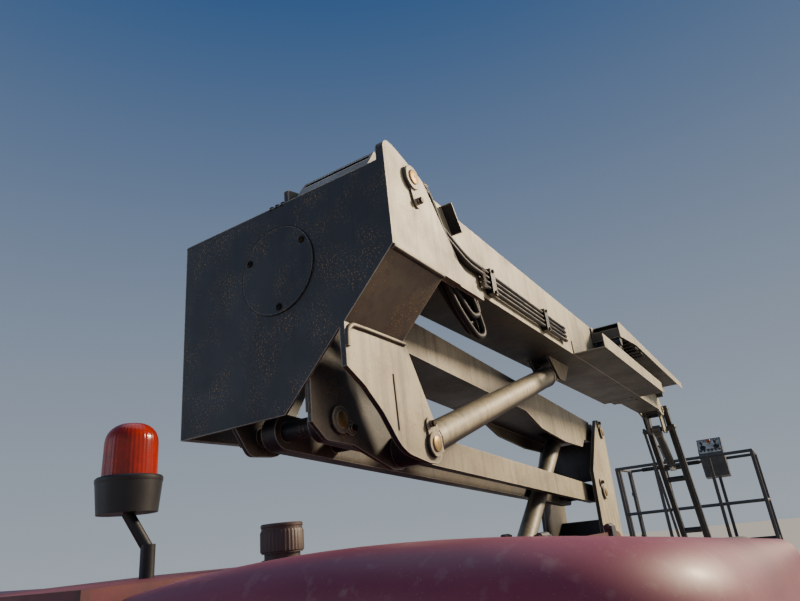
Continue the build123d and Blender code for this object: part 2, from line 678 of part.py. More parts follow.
mid_half = boom_half - section_step
tip_half = mid_half - section_step
mid_rear = boom_pin[0] + 170.0
tip_rear = mid_rear + 130.0
mid_wall = 10.0
ear_gap = boom_cylinder_radius - 12 + side_gap
with BuildPart() as boom_base:
    plate([(boom_pin[0] - 100, boom_low), (boom_pin[0] - 125, boom_low + 90),
           (boom_pin[0] - 125, boom_low + 210), (boom_pin[0] - 60, boom_low + boom_height),
           (boom_front, boom_low + boom_height), (boom_front, boom_low)],
          boom_centre_y - boom_half, boom_centre_y + boom_half)
    square_tube(boom_pin[0] - 80, boom_front + 1, boom_half - boom_wall, mode=Mode.SUBTRACT)
    square_tube(boom_front - pad_length, boom_front, boom_half - boom_wall / 2)
    square_tube(boom_front - pad_length - 1, boom_front + 1, mid_half + seat, mode=Mode.SUBTRACT)
    cross_pin(boom_pin, 64, boom_centre_y - boom_half, boom_centre_y + boom_half)
    cross_pin(boom_pin, pin_radius + running, boom_centre_y - boom_half, boom_centre_y + boom_half,
              mode=Mode.SUBTRACT)
    x, z = boom_cylinder_pin
    for y_from in (boom_cylinder_y - ear_gap - 16, boom_cylinder_y + ear_gap):
        plate([(x - 190, boom_low + 2), (x - 52, z - 50), (x + 52, z - 50), (x + 190, boom_low + 2)],
              y_from, y_from + 16, rounds={1: 46, 2: 46})
finish(boom_base, "boom_base")

with BuildPart() as boom_mid:
    square_tube(mid_rear, mid_front, mid_half)
    square_tube(mid_rear, mid_rear + pad_length, boom_half - boom_wall - seat)
    square_tube(mid_rear - 1, mid_front + 1, mid_half - mid_wall, mode=Mode.SUBTRACT)
    square_tube(mid_front - pad_length, mid_front, mid_half - mid_wall / 2)
    square_tube(mid_front - pad_length - 1, mid_front + 1, tip_half + seat, mode=Mode.SUBTRACT)
finish(boom_mid, "boom_mid")

fork_plate = 16.0
head_plate = (60.0, 76.0)
fork_inner = 86.0
with BuildPart() as boom_tip:
    square_tube(tip_rear, tip_front, tip_half)
    square_tube(tip_rear, tip_rear + pad_length, mid_half - mid_wall - seat)
    square_tube(tip_rear - 1, tip_front - 12, tip_half - mid_wall, mode=Mode.SUBTRACT)
    x, z = head_pin
    for side in (-1, 1):
        fork_y = sorted((boom_centre_y + side * fork_inner, boom_centre_y + side * (fork_inner + fork_plate)))
        plate([(tip_front - 60, z - 18), (tip_front - 60, boom_middle + tip_half), (tip_front + 60, boom_middle + tip_half),
               (x + 60, z + 20), (x + 50, z - 56), (x - 60, z - 56)], *fork_y,
              rounds={3: 50, 4: 40, 5: 40})
    cross_pin(head_pin, pin_radius, boom_centre_y - fork_inner - fork_plate - 10,
              boom_centre_y + fork_inner + fork_plate + 10)
finish(boom_tip, "boom_tip")

# Head: two plates that stay level, with the jib's two pins and its cylinder's foot
jib_low_pin = (jib_pin[0], jib_pin[1] - jib_spacing)
jib_tube = (84.0, 134.0)
jib_bar = (142.0, 160.0)
jib_tube_half = 40.0
jib_bar_half = 28.0
jib_cylinder_radius = 40.0


def both_sides(near, far):
    """The two stretches across the machine that lie so far from the boom's centre plane."""
    return [sorted((boom_centre_y + side * near, boom_centre_y + side * far)) for side in (-1, 1)]


with BuildPart() as jib_head:
    for y_from, y_to in both_sides(*head_plate):
        plate([(head_pin[0] - 50, head_pin[1] + 46), (jib_pin[0] + 44, jib_pin[1] + 46),
               (jib_pin[0] + 44, jib_low_pin[1] - 44), (jib_cylinder_base[0] - 33, jib_cylinder_base[1] - 44),
               (head_pin[0] - 42, head_pin[1] - 40)], y_from, y_to,
              rounds={0: 44, 1: 42, 2: 42, 3: 42, 4: 40})
        cross_pin(head_pin, 50, y_from, y_to)
    block(jib_pin[0] - 62, jib_pin[0] - 46, boom_centre_y - head_plate[1], boom_centre_y + head_plate[1],
          jib_pin[1] - 72, jib_pin[1] - 10)
    cross_pin(jib_pin, jib_pin_radius, boom_centre_y - jib_tube[1] - 4, boom_centre_y + jib_tube[1] + 4)
    # The lower pin is two stubs, as the jib's cylinder swings through between them.
    for y_from, y_to in both_sides(head_plate[0], jib_bar[1] + 4):
        cross_pin(jib_low_pin, jib_pin_radius, y_from, y_to)
    cross_pin(jib_cylinder_base, jib_pin_radius, boom_centre_y - head_plate[1], boom_centre_y + head_plate[1])
    cross_pin(head_pin, pin_radius + running, boom_centre_y - head_plate[1] - 1,
              boom_centre_y + head_plate[1] + 1, mode=Mode.SUBTRACT)
finish(jib_head, "jib_head")

# Jib: two upper tubes tied across, and a pair of lower bars that keep the basket level
jib_end_pin = side_point(jib_pin, jib_angle, jib_length)
jib_end_low_pin = (jib_end_pin[0], jib_end_pin[1] - jib_spacing)
with BuildPart() as jib:
    for y_from, y_to in both_sides(*jib_tube):
        side_beam(jib_pin, jib_angle, 0, jib_length, -jib_tube_half, jib_tube_half, y_from, y_to)
        for centre in (jib_pin, jib_end_pin):
            cross_pin(centre, jib_tube_half, y_from, y_to)
    jib_eye = side_point(jib_pin, jib_angle, jib_cylinder_along)
    for y_from, y_to in both_sides(jib_cylinder_radius - 12 + side_gap, jib_tube[0] + 2):
        cross_pin(jib_eye, 26, y_from, y_to)
    for along in (jib_cylinder_along + 130, jib_length - 250):
        cross_pin(side_point(jib_pin, jib_angle, along), 28, boom_centre_y - jib_tube[0] - 2,
                  boom_centre_y + jib_tube[0] + 2)
    for centre in (jib_pin, jib_end_pin):
        cross_pin(centre, jib_pin_radius + running, boom_centre_y - jib_tube[1], boom_centre_y + jib_tube[1],
                  mode=Mode.SUBTRACT)
finish(jib, "jib_tubes")
with BuildPart() as jib_link:
    for y_from, y_to in both_sides(*jib_bar):
        side_beam(jib_low_pin, jib_angle, 0, jib_length, -jib_bar_half, jib_bar_half, y_from, y_to)
        for centre in (jib_low_pin, jib_end_low_pin):
            cross_pin(centre, jib_bar_half + 10, y_from, y_to)
    cross_pin(jib_low_pin, jib_pin_radius + running, boom_centre_y - jib_bar[1], boom_centre_y + jib_bar[1],
              mode=Mode.SUBTRACT)
    cross_pin(jib_end_low_pin, jib_pin_radius + 0.5, boom_centre_y - jib_bar[1],
              boom_centre_y + jib_bar[1], mode=Mode.SUBTRACT)
finish(jib_link, "jib_link_bars")
cylinder_pair("jib_cylinder", jib_cylinder_base, jib_eye, boom_centre_y, jib_cylinder_radius,
              24.0, 50.0, 505.0, 4.0, jib_pin_radius)

# Rotator bracket at the jib's end, with an upright pivot for the basket
post_radius = 45.0
post_low = 905.0
post_high = 1165.0
with BuildPart() as bracket:
    for y_from, y_to in both_sides(*head_plate):
        plate([(jib_end_pin[0] - 44, jib_end_pin[1] + 44), (jib_end_pin[0] + 60, jib_end_pin[1] + 44),
               (rotator_x - 40, post_high - 40), (rotator_x - 40, post_low + 20),
               (jib_end_pin[0] - 44, jib_end_low_pin[1] - 44)], y_from, y_to, rounds={0: 42, 4: 42, 1: 40})
    block(rotator_x - 60, rotator_x - 38, boom_centre_y - head_plate[1], boom_centre_y + head_plate[1],
          post_low + 20, post_high - 40)
    cross_pin(jib_end_pin, jib_pin_radius, boom_centre_y - jib_tube[1] - 4, boom_centre_y + jib_tube[1] + 4)
    cross_pin(jib_end_low_pin, jib_pin_radius, boom_centre_y - jib_bar[1] - 4, boom_centre_y + jib_bar[1] + 4)
    rod((rotator_x, boom_centre_y, post_low), (rotator_x, boom_centre_y, post_high), post_radius)
    rod((rotator_x, boom_centre_y, post_low - 40), (rotator_x, boom_centre_y, post_high + 40), 24)
finish(bracket, "rotator_bracket")

# Basket: floor on a frame with the swing arms, rails of round tube, a gate and the console
floor_wall = 12.0
with BuildPart() as floor:
    block(basket_rear, basket_front, basket_right, basket_left, basket_floor - floor_wall, basket_floor)
    for y_from, y_to in ((basket_right, basket_right + 50), (basket_left - 50, basket_left),
                         (boom_centre_y - 150, boom_centre_y - 90), (boom_centre_y + 90, boom_centre_y + 150)):
        block(basket_rear, basket_front, y_from, y_to, basket_floor - floor_wall - 50, basket_floor - floor_wall)
    for x_from in (basket_rear, basket_front - 50):
        block(x_from, x_from + 50, basket_right, basket_left, basket_floor - floor_wall - 50,
              basket_floor - floor_wall)
    swing_back = basket_rear - 30
    for z_from in (post_low - 5 - 20, post_high + 5):
        block(rotator_x, basket_rear, boom_centre_y - 50, boom_centre_y + 50, z_from, z_from + 20)
        rod((rotator_x, boom_centre_y, z_from), (rotator_x, boom_centre_y, z_from + 20), 50)
    block(swing_back, basket_rear, boom_centre_y - 50, boom_centre_y + 50, post_low - 25, post_high + 25)
    rod((rotator_x, boom_centre_y, post_low - 30), (rotator_x, boom_centre_y, post_high + 30), 24 + running,
        mode=Mode.SUBTRACT)
finish(floor, "basket_floor")

rail_inset = 25.0
rail_x = (basket_rear + rail_inset, basket_front - rail_inset)
rail_y = (basket_right + rail_inset, basket_left - rail_inset)
rail_z = (1580.0, basket_rail - rail_radius)
gate_x = (basket_rear + 170.0, basket_rear + 690.0)
gate_gap = 46.0
gate_radius = rail_radius - 2
hinge_z = (basket_floor + 260.0, 1800.0)
toe_high = 150.0
with BuildPart() as rails:
    corners = [(rail_x[0], rail_y[0]), (rail_x[1], rail_y[0]), (rail_x[1], rail_y[1]), (rail_x[0], rail_y[1])]
    middles = [(rail_x[0], boom_centre_y - 300), (rail_x[0], boom_centre_y + 300),
               (rail_x[1], boom_centre_y - 300), (rail_x[1], boom_centre_y + 300)]
    gate_posts = [(gate_x[0] - gate_gap, rail_y[1]), (gate_x[1] + gate_gap, rail_y[1])]
    for x, y in corners + middles + gate_posts:
        rod((x, y, basket_floor), (x, y, rail_z[1]), rail_radius)
    for z in rail_z:
        runs = [(corners[0], corners[1]), (corners[1], corners[2]), (corners[3], corners[0]),
                (corners[3], gate_posts[0]), (gate_posts[1], corners[2])]
        for (x1, y1), (x2, y2) in runs:
            rod((x1, y1, z), (x2, y2, z), rail_radius - 1.5)
    for x, y in corners + gate_posts:
        with Locations((x, y, rail_z[1])):
            Sphere(rail_radius)
    for x_from in (rail_x[0] - 2, rail_x[1] - 2):
        block(x_from, x_from + 4, *rail_y, basket_floor, basket_floor + toe_high)
    block(*rail_x, rail_y[0] - 2, rail_y[0] + 2, basket_floor, basket_floor + toe_high)
    for z in hinge_z:
        block(gate_x[1], gate_x[1] + gate_gap, rail_y[1] - 9, rail_y[1] + 9, z, z + 40)
        rod((gate_x[1], rail_y[1], z), (gate_x[1], rail_y[1], z + 40), gate_radius + 9)
        rod((gate_x[1], rail_y[1], z - 1), (gate_x[1], rail_y[1], z + 41), gate_radius + running,
            mode=Mode.SUBTRACT)
finish(rails, "basket_rails")

with BuildPart() as gate:
    for x in gate_x:
        rod((x, rail_y[1], basket_floor + 30), (x, rail_y[1], rail_z[1]), gate_radius)
    for z in (basket_floor + 60, *rail_z):
        rod((gate_x[0], rail_y[1], z), (gate_x[1], rail_y[1], z), rail_radius - 4)
    block(*gate_x, rail_y[1] - 2, rail_y[1] + 2, basket_floor + 30, basket_floor + toe_high)
    for x in gate_x:
        with Locations((x, rail_y[1], rail_z[1])):
            Sphere(gate_radius)
finish(gate, "basket_gate")

console_y = (-647.0, -373.0)
with BuildPart() as console:
    x = rail_x[1] - rail_radius - seat
    plate([(x, 1890), (x - 150, 1910), (x - 230, 2180), (x - 90, 2366), (x, 2366)], *console_y,
          rounds={1: 30, 2: 25, 3: 25})
finish(console, "control_console")

# Power track beside the boom: a tray below, a guide above with a rounded end, and the chain's bend
track_right = -560.0
track_left = boom_centre_y - boom_half - seat
tray_rear = slew_x + 830.0
tray_front = slew_x + 2720.0
guide_rear = slew_x + 1400.0
guide_front = slew_x + 4180.0
track_wall = 5.0
with BuildPart() as tray:
    block(tray_rear, tray_front, track_right, track_left, boom_low, boom_low + track_wall)
    block(tray_rear, tray_front, track_right, track_right + track_wall, boom_low, boom_low + 84)
    block(tray_rear, tray_front, track_left - track_wall, track_left, boom_low, boom_low + 84)
finish(tray, "track_tray")
# Push rail: a channel on the boom's tip that carries the track's upper end along
with BuildPart() as guide:
    top = boom_low + boom_height
    rail_left = track_left - side_gap
    plate([(guide_rear, top - 116), (guide_rear, top), (guide_front, top), (guide_front, top - 60),
           (guide_rear + 560, top - 60)], track_right, track_right + track_wall, rounds={1: 60, 4: 300})
    block(guide_rear + 60, guide_front, track_right, rail_left, top - track_wall, top)
    block(guide_rear, guide_rear + track_wall, track_right, rail_left, top - 116, top - 50)
    block(guide_rear, guide_front, rail_left - track_wall, rail_left, top - 60, top)
    fork_side = boom_centre_y - fork_inner - fork_plate - seat
    block(tip_front + 10, tip_front + 60, rail_left - track_wall, fork_side, top - 130, top - track_wall)
finish(guide, "track_rail")
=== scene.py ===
import bpy
import json
import math
import numpy as np
from mathutils import Matrix


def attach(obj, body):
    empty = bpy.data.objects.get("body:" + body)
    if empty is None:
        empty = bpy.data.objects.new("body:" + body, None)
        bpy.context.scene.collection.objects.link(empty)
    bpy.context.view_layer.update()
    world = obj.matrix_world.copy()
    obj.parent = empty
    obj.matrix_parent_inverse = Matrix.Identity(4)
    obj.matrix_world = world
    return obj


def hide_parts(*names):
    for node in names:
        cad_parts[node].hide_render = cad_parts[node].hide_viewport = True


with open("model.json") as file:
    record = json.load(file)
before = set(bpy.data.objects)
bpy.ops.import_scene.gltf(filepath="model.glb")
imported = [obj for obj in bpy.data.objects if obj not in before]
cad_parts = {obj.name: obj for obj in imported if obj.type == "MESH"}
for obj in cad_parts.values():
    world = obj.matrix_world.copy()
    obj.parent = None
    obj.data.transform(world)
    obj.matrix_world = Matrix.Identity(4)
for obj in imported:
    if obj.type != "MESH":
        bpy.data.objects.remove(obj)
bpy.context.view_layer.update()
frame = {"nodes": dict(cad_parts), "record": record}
nodes = frame["nodes"]
print("frame loaded:", len(nodes), "solids")

# Camera beside the hood at eye height, looking up along the machine
cameraSetup = {
    "place": (-4.665, -1.26, 1.56),
    "forward": (0.80364, 0.46586, 0.37031),
    "up": (-0.26453, -0.27776, 0.92351),
    "lens": 27,
    "clip": 0.02,
}


def unit(vectors):
    return vectors / np.linalg.norm(vectors, axis=-1, keepdims=True)


def aimedMatrix(place, forward, up):
    # columns are right, up and back, each at right angles to the others
    back = -unit(np.array(forward))
    right = unit(np.cross(up, back))
    matrix = np.eye(4)
    matrix[:3] = np.stack([right, np.cross(back, right), back, place], axis=1)
    return Matrix(matrix.tolist())


camera = bpy.data.objects.new("camera", bpy.data.cameras.new("camera"))
bpy.context.scene.collection.objects.link(camera)
camera.data.lens = cameraSetup["lens"]
camera.data.clip_start = cameraSetup["clip"]
camera.matrix_world = aimedMatrix(cameraSetup["place"], cameraSetup["forward"], cameraSetup["up"])
bpy.context.scene.camera = camera
print("camera placed")

# Soft light: a sun from the machine's right front, a broad fill from above and a weak one behind the tail
studio = {
    "lamps": {
        "key": {"place": (8.5, -9, 8.5), "target": (-1.5, -0.2, 2), "angle": 0.15, "power": 5.4,
                "colour": "FFE8C6"},
        "top": {"place": (-1, 1, 9.5), "target": (0, 0, 1.5), "size": 9, "power": 140,
                "colour": "E4ECFA"},
        "tail": {"place": (-10, 5, 3.5), "target": (-2, 0, 2), "size": 5, "power": 60,
                 "colour": "BBD0F2"},
    },
    "horizon": "D3DFEA", "zenith": "4C78B4", "zenithHeight": 0.75, "skyPower": 0.55,
}


def linear(hexColour):
    # sRGB to linear: c/12.92 below 0.04045, else ((c+0.055)/1.055)^2.4
    channels = np.array([int(hexColour[i:i + 2], 16) for i in (0, 2, 4)]) / 255
    low, high = channels / 12.92, ((channels + 0.055) / 1.055) ** 2.4
    return (*np.where(channels <= 0.04045, low, high).tolist(), 1)


for name, lamp in studio["lamps"].items():
    light = bpy.data.lights.new(name, "SUN" if "angle" in lamp else "AREA")
    light.energy = lamp["power"]
    if "angle" in lamp:
        light.angle = lamp["angle"]
    else:
        light.shape, light.size = "DISK", lamp["size"]
    light.color = linear(lamp["colour"])[:3]
    holder = bpy.data.objects.new(name, light)
    holder.matrix_world = aimedMatrix(lamp["place"], np.subtract(lamp["target"], lamp["place"]), (0, 0, 1))
    bpy.context.scene.collection.objects.link(holder)
world = bpy.data.worlds.new("studio")
world.use_nodes = True
background = world.node_tree.nodes["Background"]
background.inputs["Strength"].default_value = studio["skyPower"]
bpy.context.scene.world = world
print("studio lit")


def plug(tree, source, socket):
    # source is a node, for its first output, or a node with the output's name
    node, output = source if isinstance(source, tuple) else (source, 0)
    tree.links.new(node.outputs[output], socket)


def add(tree, kind, settings=None, inputs=None, links=None):
    # one node, with its settings, its fixed inputs and what is plugged into it
    node = tree.nodes.new("ShaderNode" + kind)
    for key, value in (settings or {}).items():
        setattr(node, key, value)
    for key, value in (inputs or {}).items():
        node.inputs[key].default_value = value
    for key, source in (links or {}).items():
        plug(tree, source, node.inputs[key])
    return node


def ramp(tree, source, *stops):
    # colour ramp between two stops, each a place with a hex colour or a grey value
    node = add(tree, "ValToRGB", links={"Fac": source})
    for element, (place, shade) in zip(node.color_ramp.elements, stops):
        element.position = place
        element.color = linear(shade) if isinstance(shade, str) else (shade, shade, shade, 1)
    return node


# plain graded backdrop: pale at the floor's edge, blue overhead
direction = add(world.node_tree, "TexCoord")
height = add(world.node_tree, "SeparateXYZ", links={"Vector": (direction, "Generated")})
graded = ramp(world.node_tree, (height, "Z"), (0, studio["horizon"]), (studio["zenithHeight"], studio["zenith"]))
plug(world.node_tree, graded, background.inputs["Color"])


def newMaterial(name):
    # the material, its tree, its shader and the place on the piece
    material = bpy.data.materials.new(name)
    material.use_nodes = True
    tree = material.node_tree
    return material, tree, tree.nodes["Principled BSDF"], (add(tree, "TexCoord"), "Object")


def noise(tree, place, scale, detail, roughness=0.5):
    return add(tree, "TexNoise", inputs={"Scale": scale, "Detail": detail, "Roughness": roughness},
               links={"Vector": place})


def bump(tree, height, strength, distance, links=None):
    return add(tree, "Bump", inputs={"Strength": strength, "Distance": distance},
               links={"Height": height, **(links or {})})


def layered(tree, below, look, *masks):
    # paints the look's colours over what is below, one after the other, each where its mask is white
    for mask, shade in masks:
        below = add(tree, "MixRGB", inputs={"Color2": linear(look[shade])}, links={"Fac": mask, "Color1": below})
    return below


def dress(tree, shader, colour, rough, normal):
    for source, socket in ((colour, "Base Color"), (rough, "Roughness"), (normal, "Normal")):
        plug(tree, source, shader.inputs[socket])


def product(tree, first, second):
    return add(tree, "Math", {"operation": "MULTIPLY"}, links={0: first, 1: second})


def faceMask(tree, axis, sign, start, end):
    # white on faces turned along one axis of the piece: sign * normal, between two (normal, grey) stops
    parts = add(tree, "SeparateXYZ", links={"Vector": (add(tree, "TexCoord"), "Normal")})
    facing = add(tree, "Math", {"operation": "MULTIPLY"}, {1: sign}, {0: (parts, axis)})
    return ramp(tree, facing, start, end)


def paintedSteel(name, look):
    # Two-pack enamel sprayed on welded steel: satin, with a faint orange peel, faded in broad patches, rain streaks
    # down the uprights, golden rust freckles and chips along the edges; painted shade below (with a little grime),
    # towards the tail and where pieces stand close
    material, tree, shader, place = newMaterial(name)
    painted = ramp(tree, noise(tree, place, look["patch"], 5, 0.6), (0.32, look["faded"]), (0.68, look["colour"]))
    # streaks: noise stretched along Z, 25 to 40 mm wide and most of a metre long
    stretch = add(tree, "Mapping", inputs={"Scale": (26, 26, 1.1)}, links={"Vector": place})
    streaks = ramp(tree, noise(tree, stretch, 1, 6, 0.62), (0.50, 0), (0.74, look["streak"]))
    # soot and dust film in clouds
    clouds = noise(tree, place, 4.2, 8, 0.68)
    film = ramp(tree, clouds, (0.44, 0), (0.72, look["film"]))
    # painted shade, with a little grease and road grime, on everything that faces down
    below = faceMask(tree, "Z", -1, (0.12, 0), (0.60, look["under"]))
    # painted shade where other pieces stand close and hem the face in
    nearness = add(tree, "AmbientOcclusion", {"samples": 6}, {"Distance": look["closeness"]})
    hidden = ramp(tree, (nearness, "AO"), (look["hidden"], look["close"]), (look["hidden"] + 0.40, 0))
    # painted shade on the side that faces the tail
    behind = faceMask(tree, "X", -1, (0.45, 0), (0.80, look["rear"]))
    # freckles 2 to 6 mm across, gathered in patches
    freckles = product(tree, ramp(tree, noise(tree, place, 170, 2), (0.58, 0), (0.66, 1)),
                       ramp(tree, noise(tree, place, 7, 3), (0.44, 0), (0.60, look["rust"])))
    # edge wear: where the rounded normal leaves the true one, broken up by a 15 mm noise
    soft = add(tree, "Bevel", {"samples": 4}, {"Radius": look["edge"]})
    turn = add(tree, "VectorMath", {"operation": "DOT_PRODUCT"},
               links={0: soft, 1: (add(tree, "NewGeometry"), "Normal")})
    worn = add(tree, "Math", {"operation": "MULTIPLY_ADD"}, {1: -1, 2: 1}, {0: (turn, "Value")})
    broken = product(tree, worn, noise(tree, place, 60, 4))
    chips = ramp(tree, broken, (0.02, 0), (0.10, look["wear"]))
    # over the paint: streaks, dirt film, painted shade below with a little grime, painted shade in crevices and
    # towards the tail, rust freckles, edge chips
    painted = layered(tree, painted, look, (streaks, "dirt"), (film, "dirt"), (below, "grimeAndShadeBelow"), (hidden, "paintedShadeColour"),
                      (behind, "paintedShadeColour"), (freckles, "rustColour"), (chips, "edgeColour"))
    rough = ramp(tree, clouds, (0.3, look["rough"]), (0.75, look["rough"] + 0.22))
    # orange peel of 3 mm, drawn coarser than the real 1 mm so that it shows
    dress(tree, shader, painted, rough, bump(tree, noise(tree, place, 330, 2), 0.12, 0.0006))
    return material


# From under onwards the values set painted shade: on faces that face down with a little grime, on faces towards the
# tail, where pieces stand close
creamLook = {"colour": "D8CDA8", "faded": "C2B692", "dirt": "5B5148", "patch": 1.3, "streak": 0.75, "film": 0.50,
             "rust": 0.7, "rustColour": "8A5C2A", "edge": 0.006, "wear": 0.8, "edgeColour": "E2DAC4", "rough": 0.42,
             "under": 0.97, "grimeAndShadeBelow": "191A1F", "rear": 0.86, "paintedShadeColour": "1B1F28", "closeness": 0.95, "hidden": 0.38,
             "close": 0.94}
# The knuckle gets deeper painted shade: blue-black on faces towards the tail, brown on faces that face down
knuckleLook = dict(creamLook, rear=0.97, rust=0.8, rustColour="9A7A48", film=0.55, under=0.86, grimeAndShadeBelow="332D2A",
                   paintedShadeColour="1C222C")
# The grey, maroon and rim paints carry weaker painted shade below, towards the tail and in crevices
greyLook = dict(creamLook, rear=0.3, close=0.5, colour="4A4D51", faded="3E4145", dirt="2A2826", rust=0.3,
                edgeColour="8C8A86", rough=0.45, under=0.6, grimeAndShadeBelow="26241F")
redLook = dict(creamLook, rear=0.25, close=0.5, colour="6E2433", faded="7F3342", dirt="3E2A2A", rust=0.25,
               edgeColour="4A2A24", rough=0.48, under=0.5, grimeAndShadeBelow="2A2020")
# The jib is painted near black as painted shade; its light edge colour is a painted highlight along the edges as well
# as wear
jibLook = dict(greyLook, colour="2B2D31", faded="24262A", film=0.3, streak=0.4, rust=0.15, edgeColour="A8A69E",
               wear=0.9, close=0.4)
rimLook = dict(creamLook, rear=0.2, close=0.6, colour="C9BFA6", faded="B5AA92", film=0.7, rough=0.5, under=0.4)
weldLook = dict(creamLook, rust=0.9, film=0.8, wear=0.4)
hoodLook = {"colour": "74243A", "chalk": "8C3A50", "dust": 0.35, "dustColour": "A88E88", "bleach": 0.35,
            "bleachColour": "9A5468"}


def gelCoat(name, look):
    # Pigmented polyester gel coat on glass fibre, polished out of the mould and gone chalky in the sun:
    # a soft gloss with pale bloom on the crown, dust, hairline scratches
    material, tree, shader, place = newMaterial(name)
    bloom = noise(tree, place, 2.1, 6, 0.62)
    coat = ramp(tree, bloom, (0.30, look["colour"]), (0.72, look["chalk"]))
    dust = ramp(tree, noise(tree, place, 46, 6), (0.56, 0), (0.80, look["dust"]))
    # the crown, which faces up, has bleached the most
    crown = faceMask(tree, "Z", 1, (0.55, 0), (1, look["bleach"]))
    # hairline scratches along the machine, 1 mm wide, wider than the real ones so that they show
    drawn = add(tree, "Mapping", inputs={"Scale": (3, 420, 420)}, links={"Vector": place})
    hair = ramp(tree, noise(tree, drawn, 1, 2), (0.66, 0), (0.70, 0.22))
    coat = layered(tree, coat, look, (dust, "dustColour"), (crown, "bleachColour"), (hair, "dustColour"))
    # the mould's edges are all rounded, so the normal is softened over 40 mm
    soft = add(tree, "Bevel", {"samples": 8}, {"Radius": 0.04})
    ripple = bump(tree, noise(tree, place, 9, 2), 0.08, 0.004, {"Normal": soft})
    dress(tree, shader, coat, ramp(tree, bloom, (0.3, 0.44), (0.75, 0.60)), ripple)
    shader.inputs["IOR"].default_value = 1.54
    shader.inputs["Coat Weight"].default_value = 0.08
    shader.inputs["Coat Roughness"].default_value = 0.25
    return material


def patched(name, patches, shades, rough, grain, relief, values=None):
    # what the plain materials share: two shades and two roughnesses in patches, and a fine grain in relief
    material, tree, shader, place = newMaterial(name)
    cloud = noise(tree, place, *patches)
    dress(tree, shader, ramp(tree, cloud, *shades), ramp(tree, cloud, (0.3, rough[0]), (0.8, rough[1])),
          bump(tree, noise(tree, place, *grain), *relief))
    for key, value in (values or {}).items():
        shader.inputs[key].default_value = value
    return material


def moulded(name, colour, pale, grain, rough, values=None):
    # Moulded or cast surface with a fine grain and a worn, dusty bloom
    return patched(name, (11, 7, 0.65), ((0.38, colour), (0.78, pale)), (rough, rough + 0.15), (grain, 3),
                   (0.25, 0.0008), values)


def bareMetal(name, colour, stained, rough, brush):
    # Bare, plated or machined metal: bright, stained in patches, with a fine grain from the tool
    return patched(name, (14, 5), ((0.35, colour), (0.8, stained)), (rough, rough + 0.25), (brush, 2),
                   (0.1, 0.0004), {"Metallic": 1})


def tintedLens(name, colour, deep):
    # Acrylic lens moulded in amber, with a sun-bleached haze
    return patched(name, (30, 4), ((0.3, colour), (0.8, deep)), (0.10, 0.28), (240, 2), (0.05, 0.0005),
                   {"Transmission Weight": 0.35, "IOR": 1.49})


def rubber(name, colour, dusty, grain, rough, sheen=0.5):
    # Vulcanised rubber: dark, with mud dust lying in the grain and a dull sheen on rounded edges
    return moulded(name, colour, dusty, grain, rough, {"IOR": 1.52, "Specular IOR Level": sheen})


finishes = {
    "cream_paint": paintedSteel("creamEnamelOnSteel", creamLook),
    "grey_paint": paintedSteel("greyEnamelOnSteel", greyLook),
    "red_paint": paintedSteel("maroonEnamelOnCasting", redLook),
    "rim_paint": paintedSteel("creamEnamelOnRims", rimLook),
    "red_gel_coat": gelCoat("maroonGelCoat", hoodLook),
    "rod_chrome": bareMetal("hardChromedRod", "C9CACC", "8A8478", 0.10, 900),
    "tyre_rubber": rubber("naturalRubberTread", "161616", "2F2C28", 420, 0.66),
    "engine_metal": moulded("castAluminium", "6A6864", "8A8478", 260, 0.5),
    "tank_plastic": moulded("rotomouldedPolyethylene", "1E1F20", "3A3733", 300, 0.55),
    "dark_plastic": moulded("glassFilledNylon", "131418", "2B2928", 500, 0.38),
    "floor_plate": bareMetal("rolledAluminiumPlate", "A9ABAD", "6E6A62", 0.34, 500),
    "amber_lens": tintedLens("amberAcrylic", "C8340F", "8E2008"),
}
# The knuckle's enamel carries deeper painted shade; the jib's enamel is painted near black as painted shade
nodeFinishes = {
    "knuckle_box": paintedSteel("enamelWithPaintedShadeOnKnuckle", knuckleLook),
    "jib_tubes": paintedSteel("enamelPaintedAsShadeOnJib", jibLook),
    "filler_cap": moulded("brownPhenolic", "3A2B27", "5C463D", 320, 0.42),
    "control_console": moulded("greyAbsHousing", "3C3F44", "55565A", 420, 0.45),
}
nodeFinishes["knuckle_cover"] = nodeFinishes["knuckle_box"]
nodeFinishes["jib_link_bars"] = nodeFinishes["jib_tubes"]

# Trim of its own material, each paired with a slot of the record
hoseCover = rubber("hoseCoverRubber", "08080A", "141315", 700, 0.48, 0.3), "tyre_rubber"
blackZinc = bareMetal("blackZincPlate", "3B3A3C", "55504A", 0.30, 700), "rod_chrome"
zincBolt = bareMetal("zincPlatedBolt", "8E8B84", "5B4A36", 0.32, 800), "rod_chrome"
darkBolt = bareMetal("blackenedBolt", "242322", "4A3A2A", 0.38, 800), "rod_chrome"
pinSteel = bareMetal("greaseStainedPin", "A48A5C", "6E4A22", 0.36, 260), "rod_chrome"
weldMetal = paintedSteel("creamEnamelOnWeld", weldLook), "cream_paint"
sealRubber = rubber("epdmSeal", "101010", "2A2825", 600, 0.6), "tyre_rubber"
redMushroom = moulded("redNylonButton", "8E1414", "A83A30", 400, 0.35), "dark_plastic"
yellowSwitch = moulded("yellowNylonCollar", "C79A1E", "A88A3A", 400, 0.4), "dark_plastic"
blankPlate = bareMetal("blankAluminiumPlate", "A5A29A", "7C786E", 0.38, 600), "floor_plate"
bulbGlass = moulded("frostedBulb", "C98A6A", "A8603A", 200, 0.3), "amber_lens"
reflectorMetal = bareMetal("pressedReflector", "6A6A6C", "3A3838", 0.2, 900), "rod_chrome"
gripFoam = rubber("foamGrip", "1A1A1B", "33302C", 300, 0.8), "tyre_rubber"
capPhenolic = nodeFinishes["filler_cap"], "dark_plastic"

for entry in frame["record"]["subparts"]:
    node = nodes[entry["node"]]
    material = nodeFinishes.get(entry["node"], finishes[entry["material_slot"]])
    for place in range(max(1, len(node.material_slots))):
        if place < len(node.material_slots):
            node.material_slots[place].material = material
        else:
            node.data.materials.append(material)
print("solids finished")

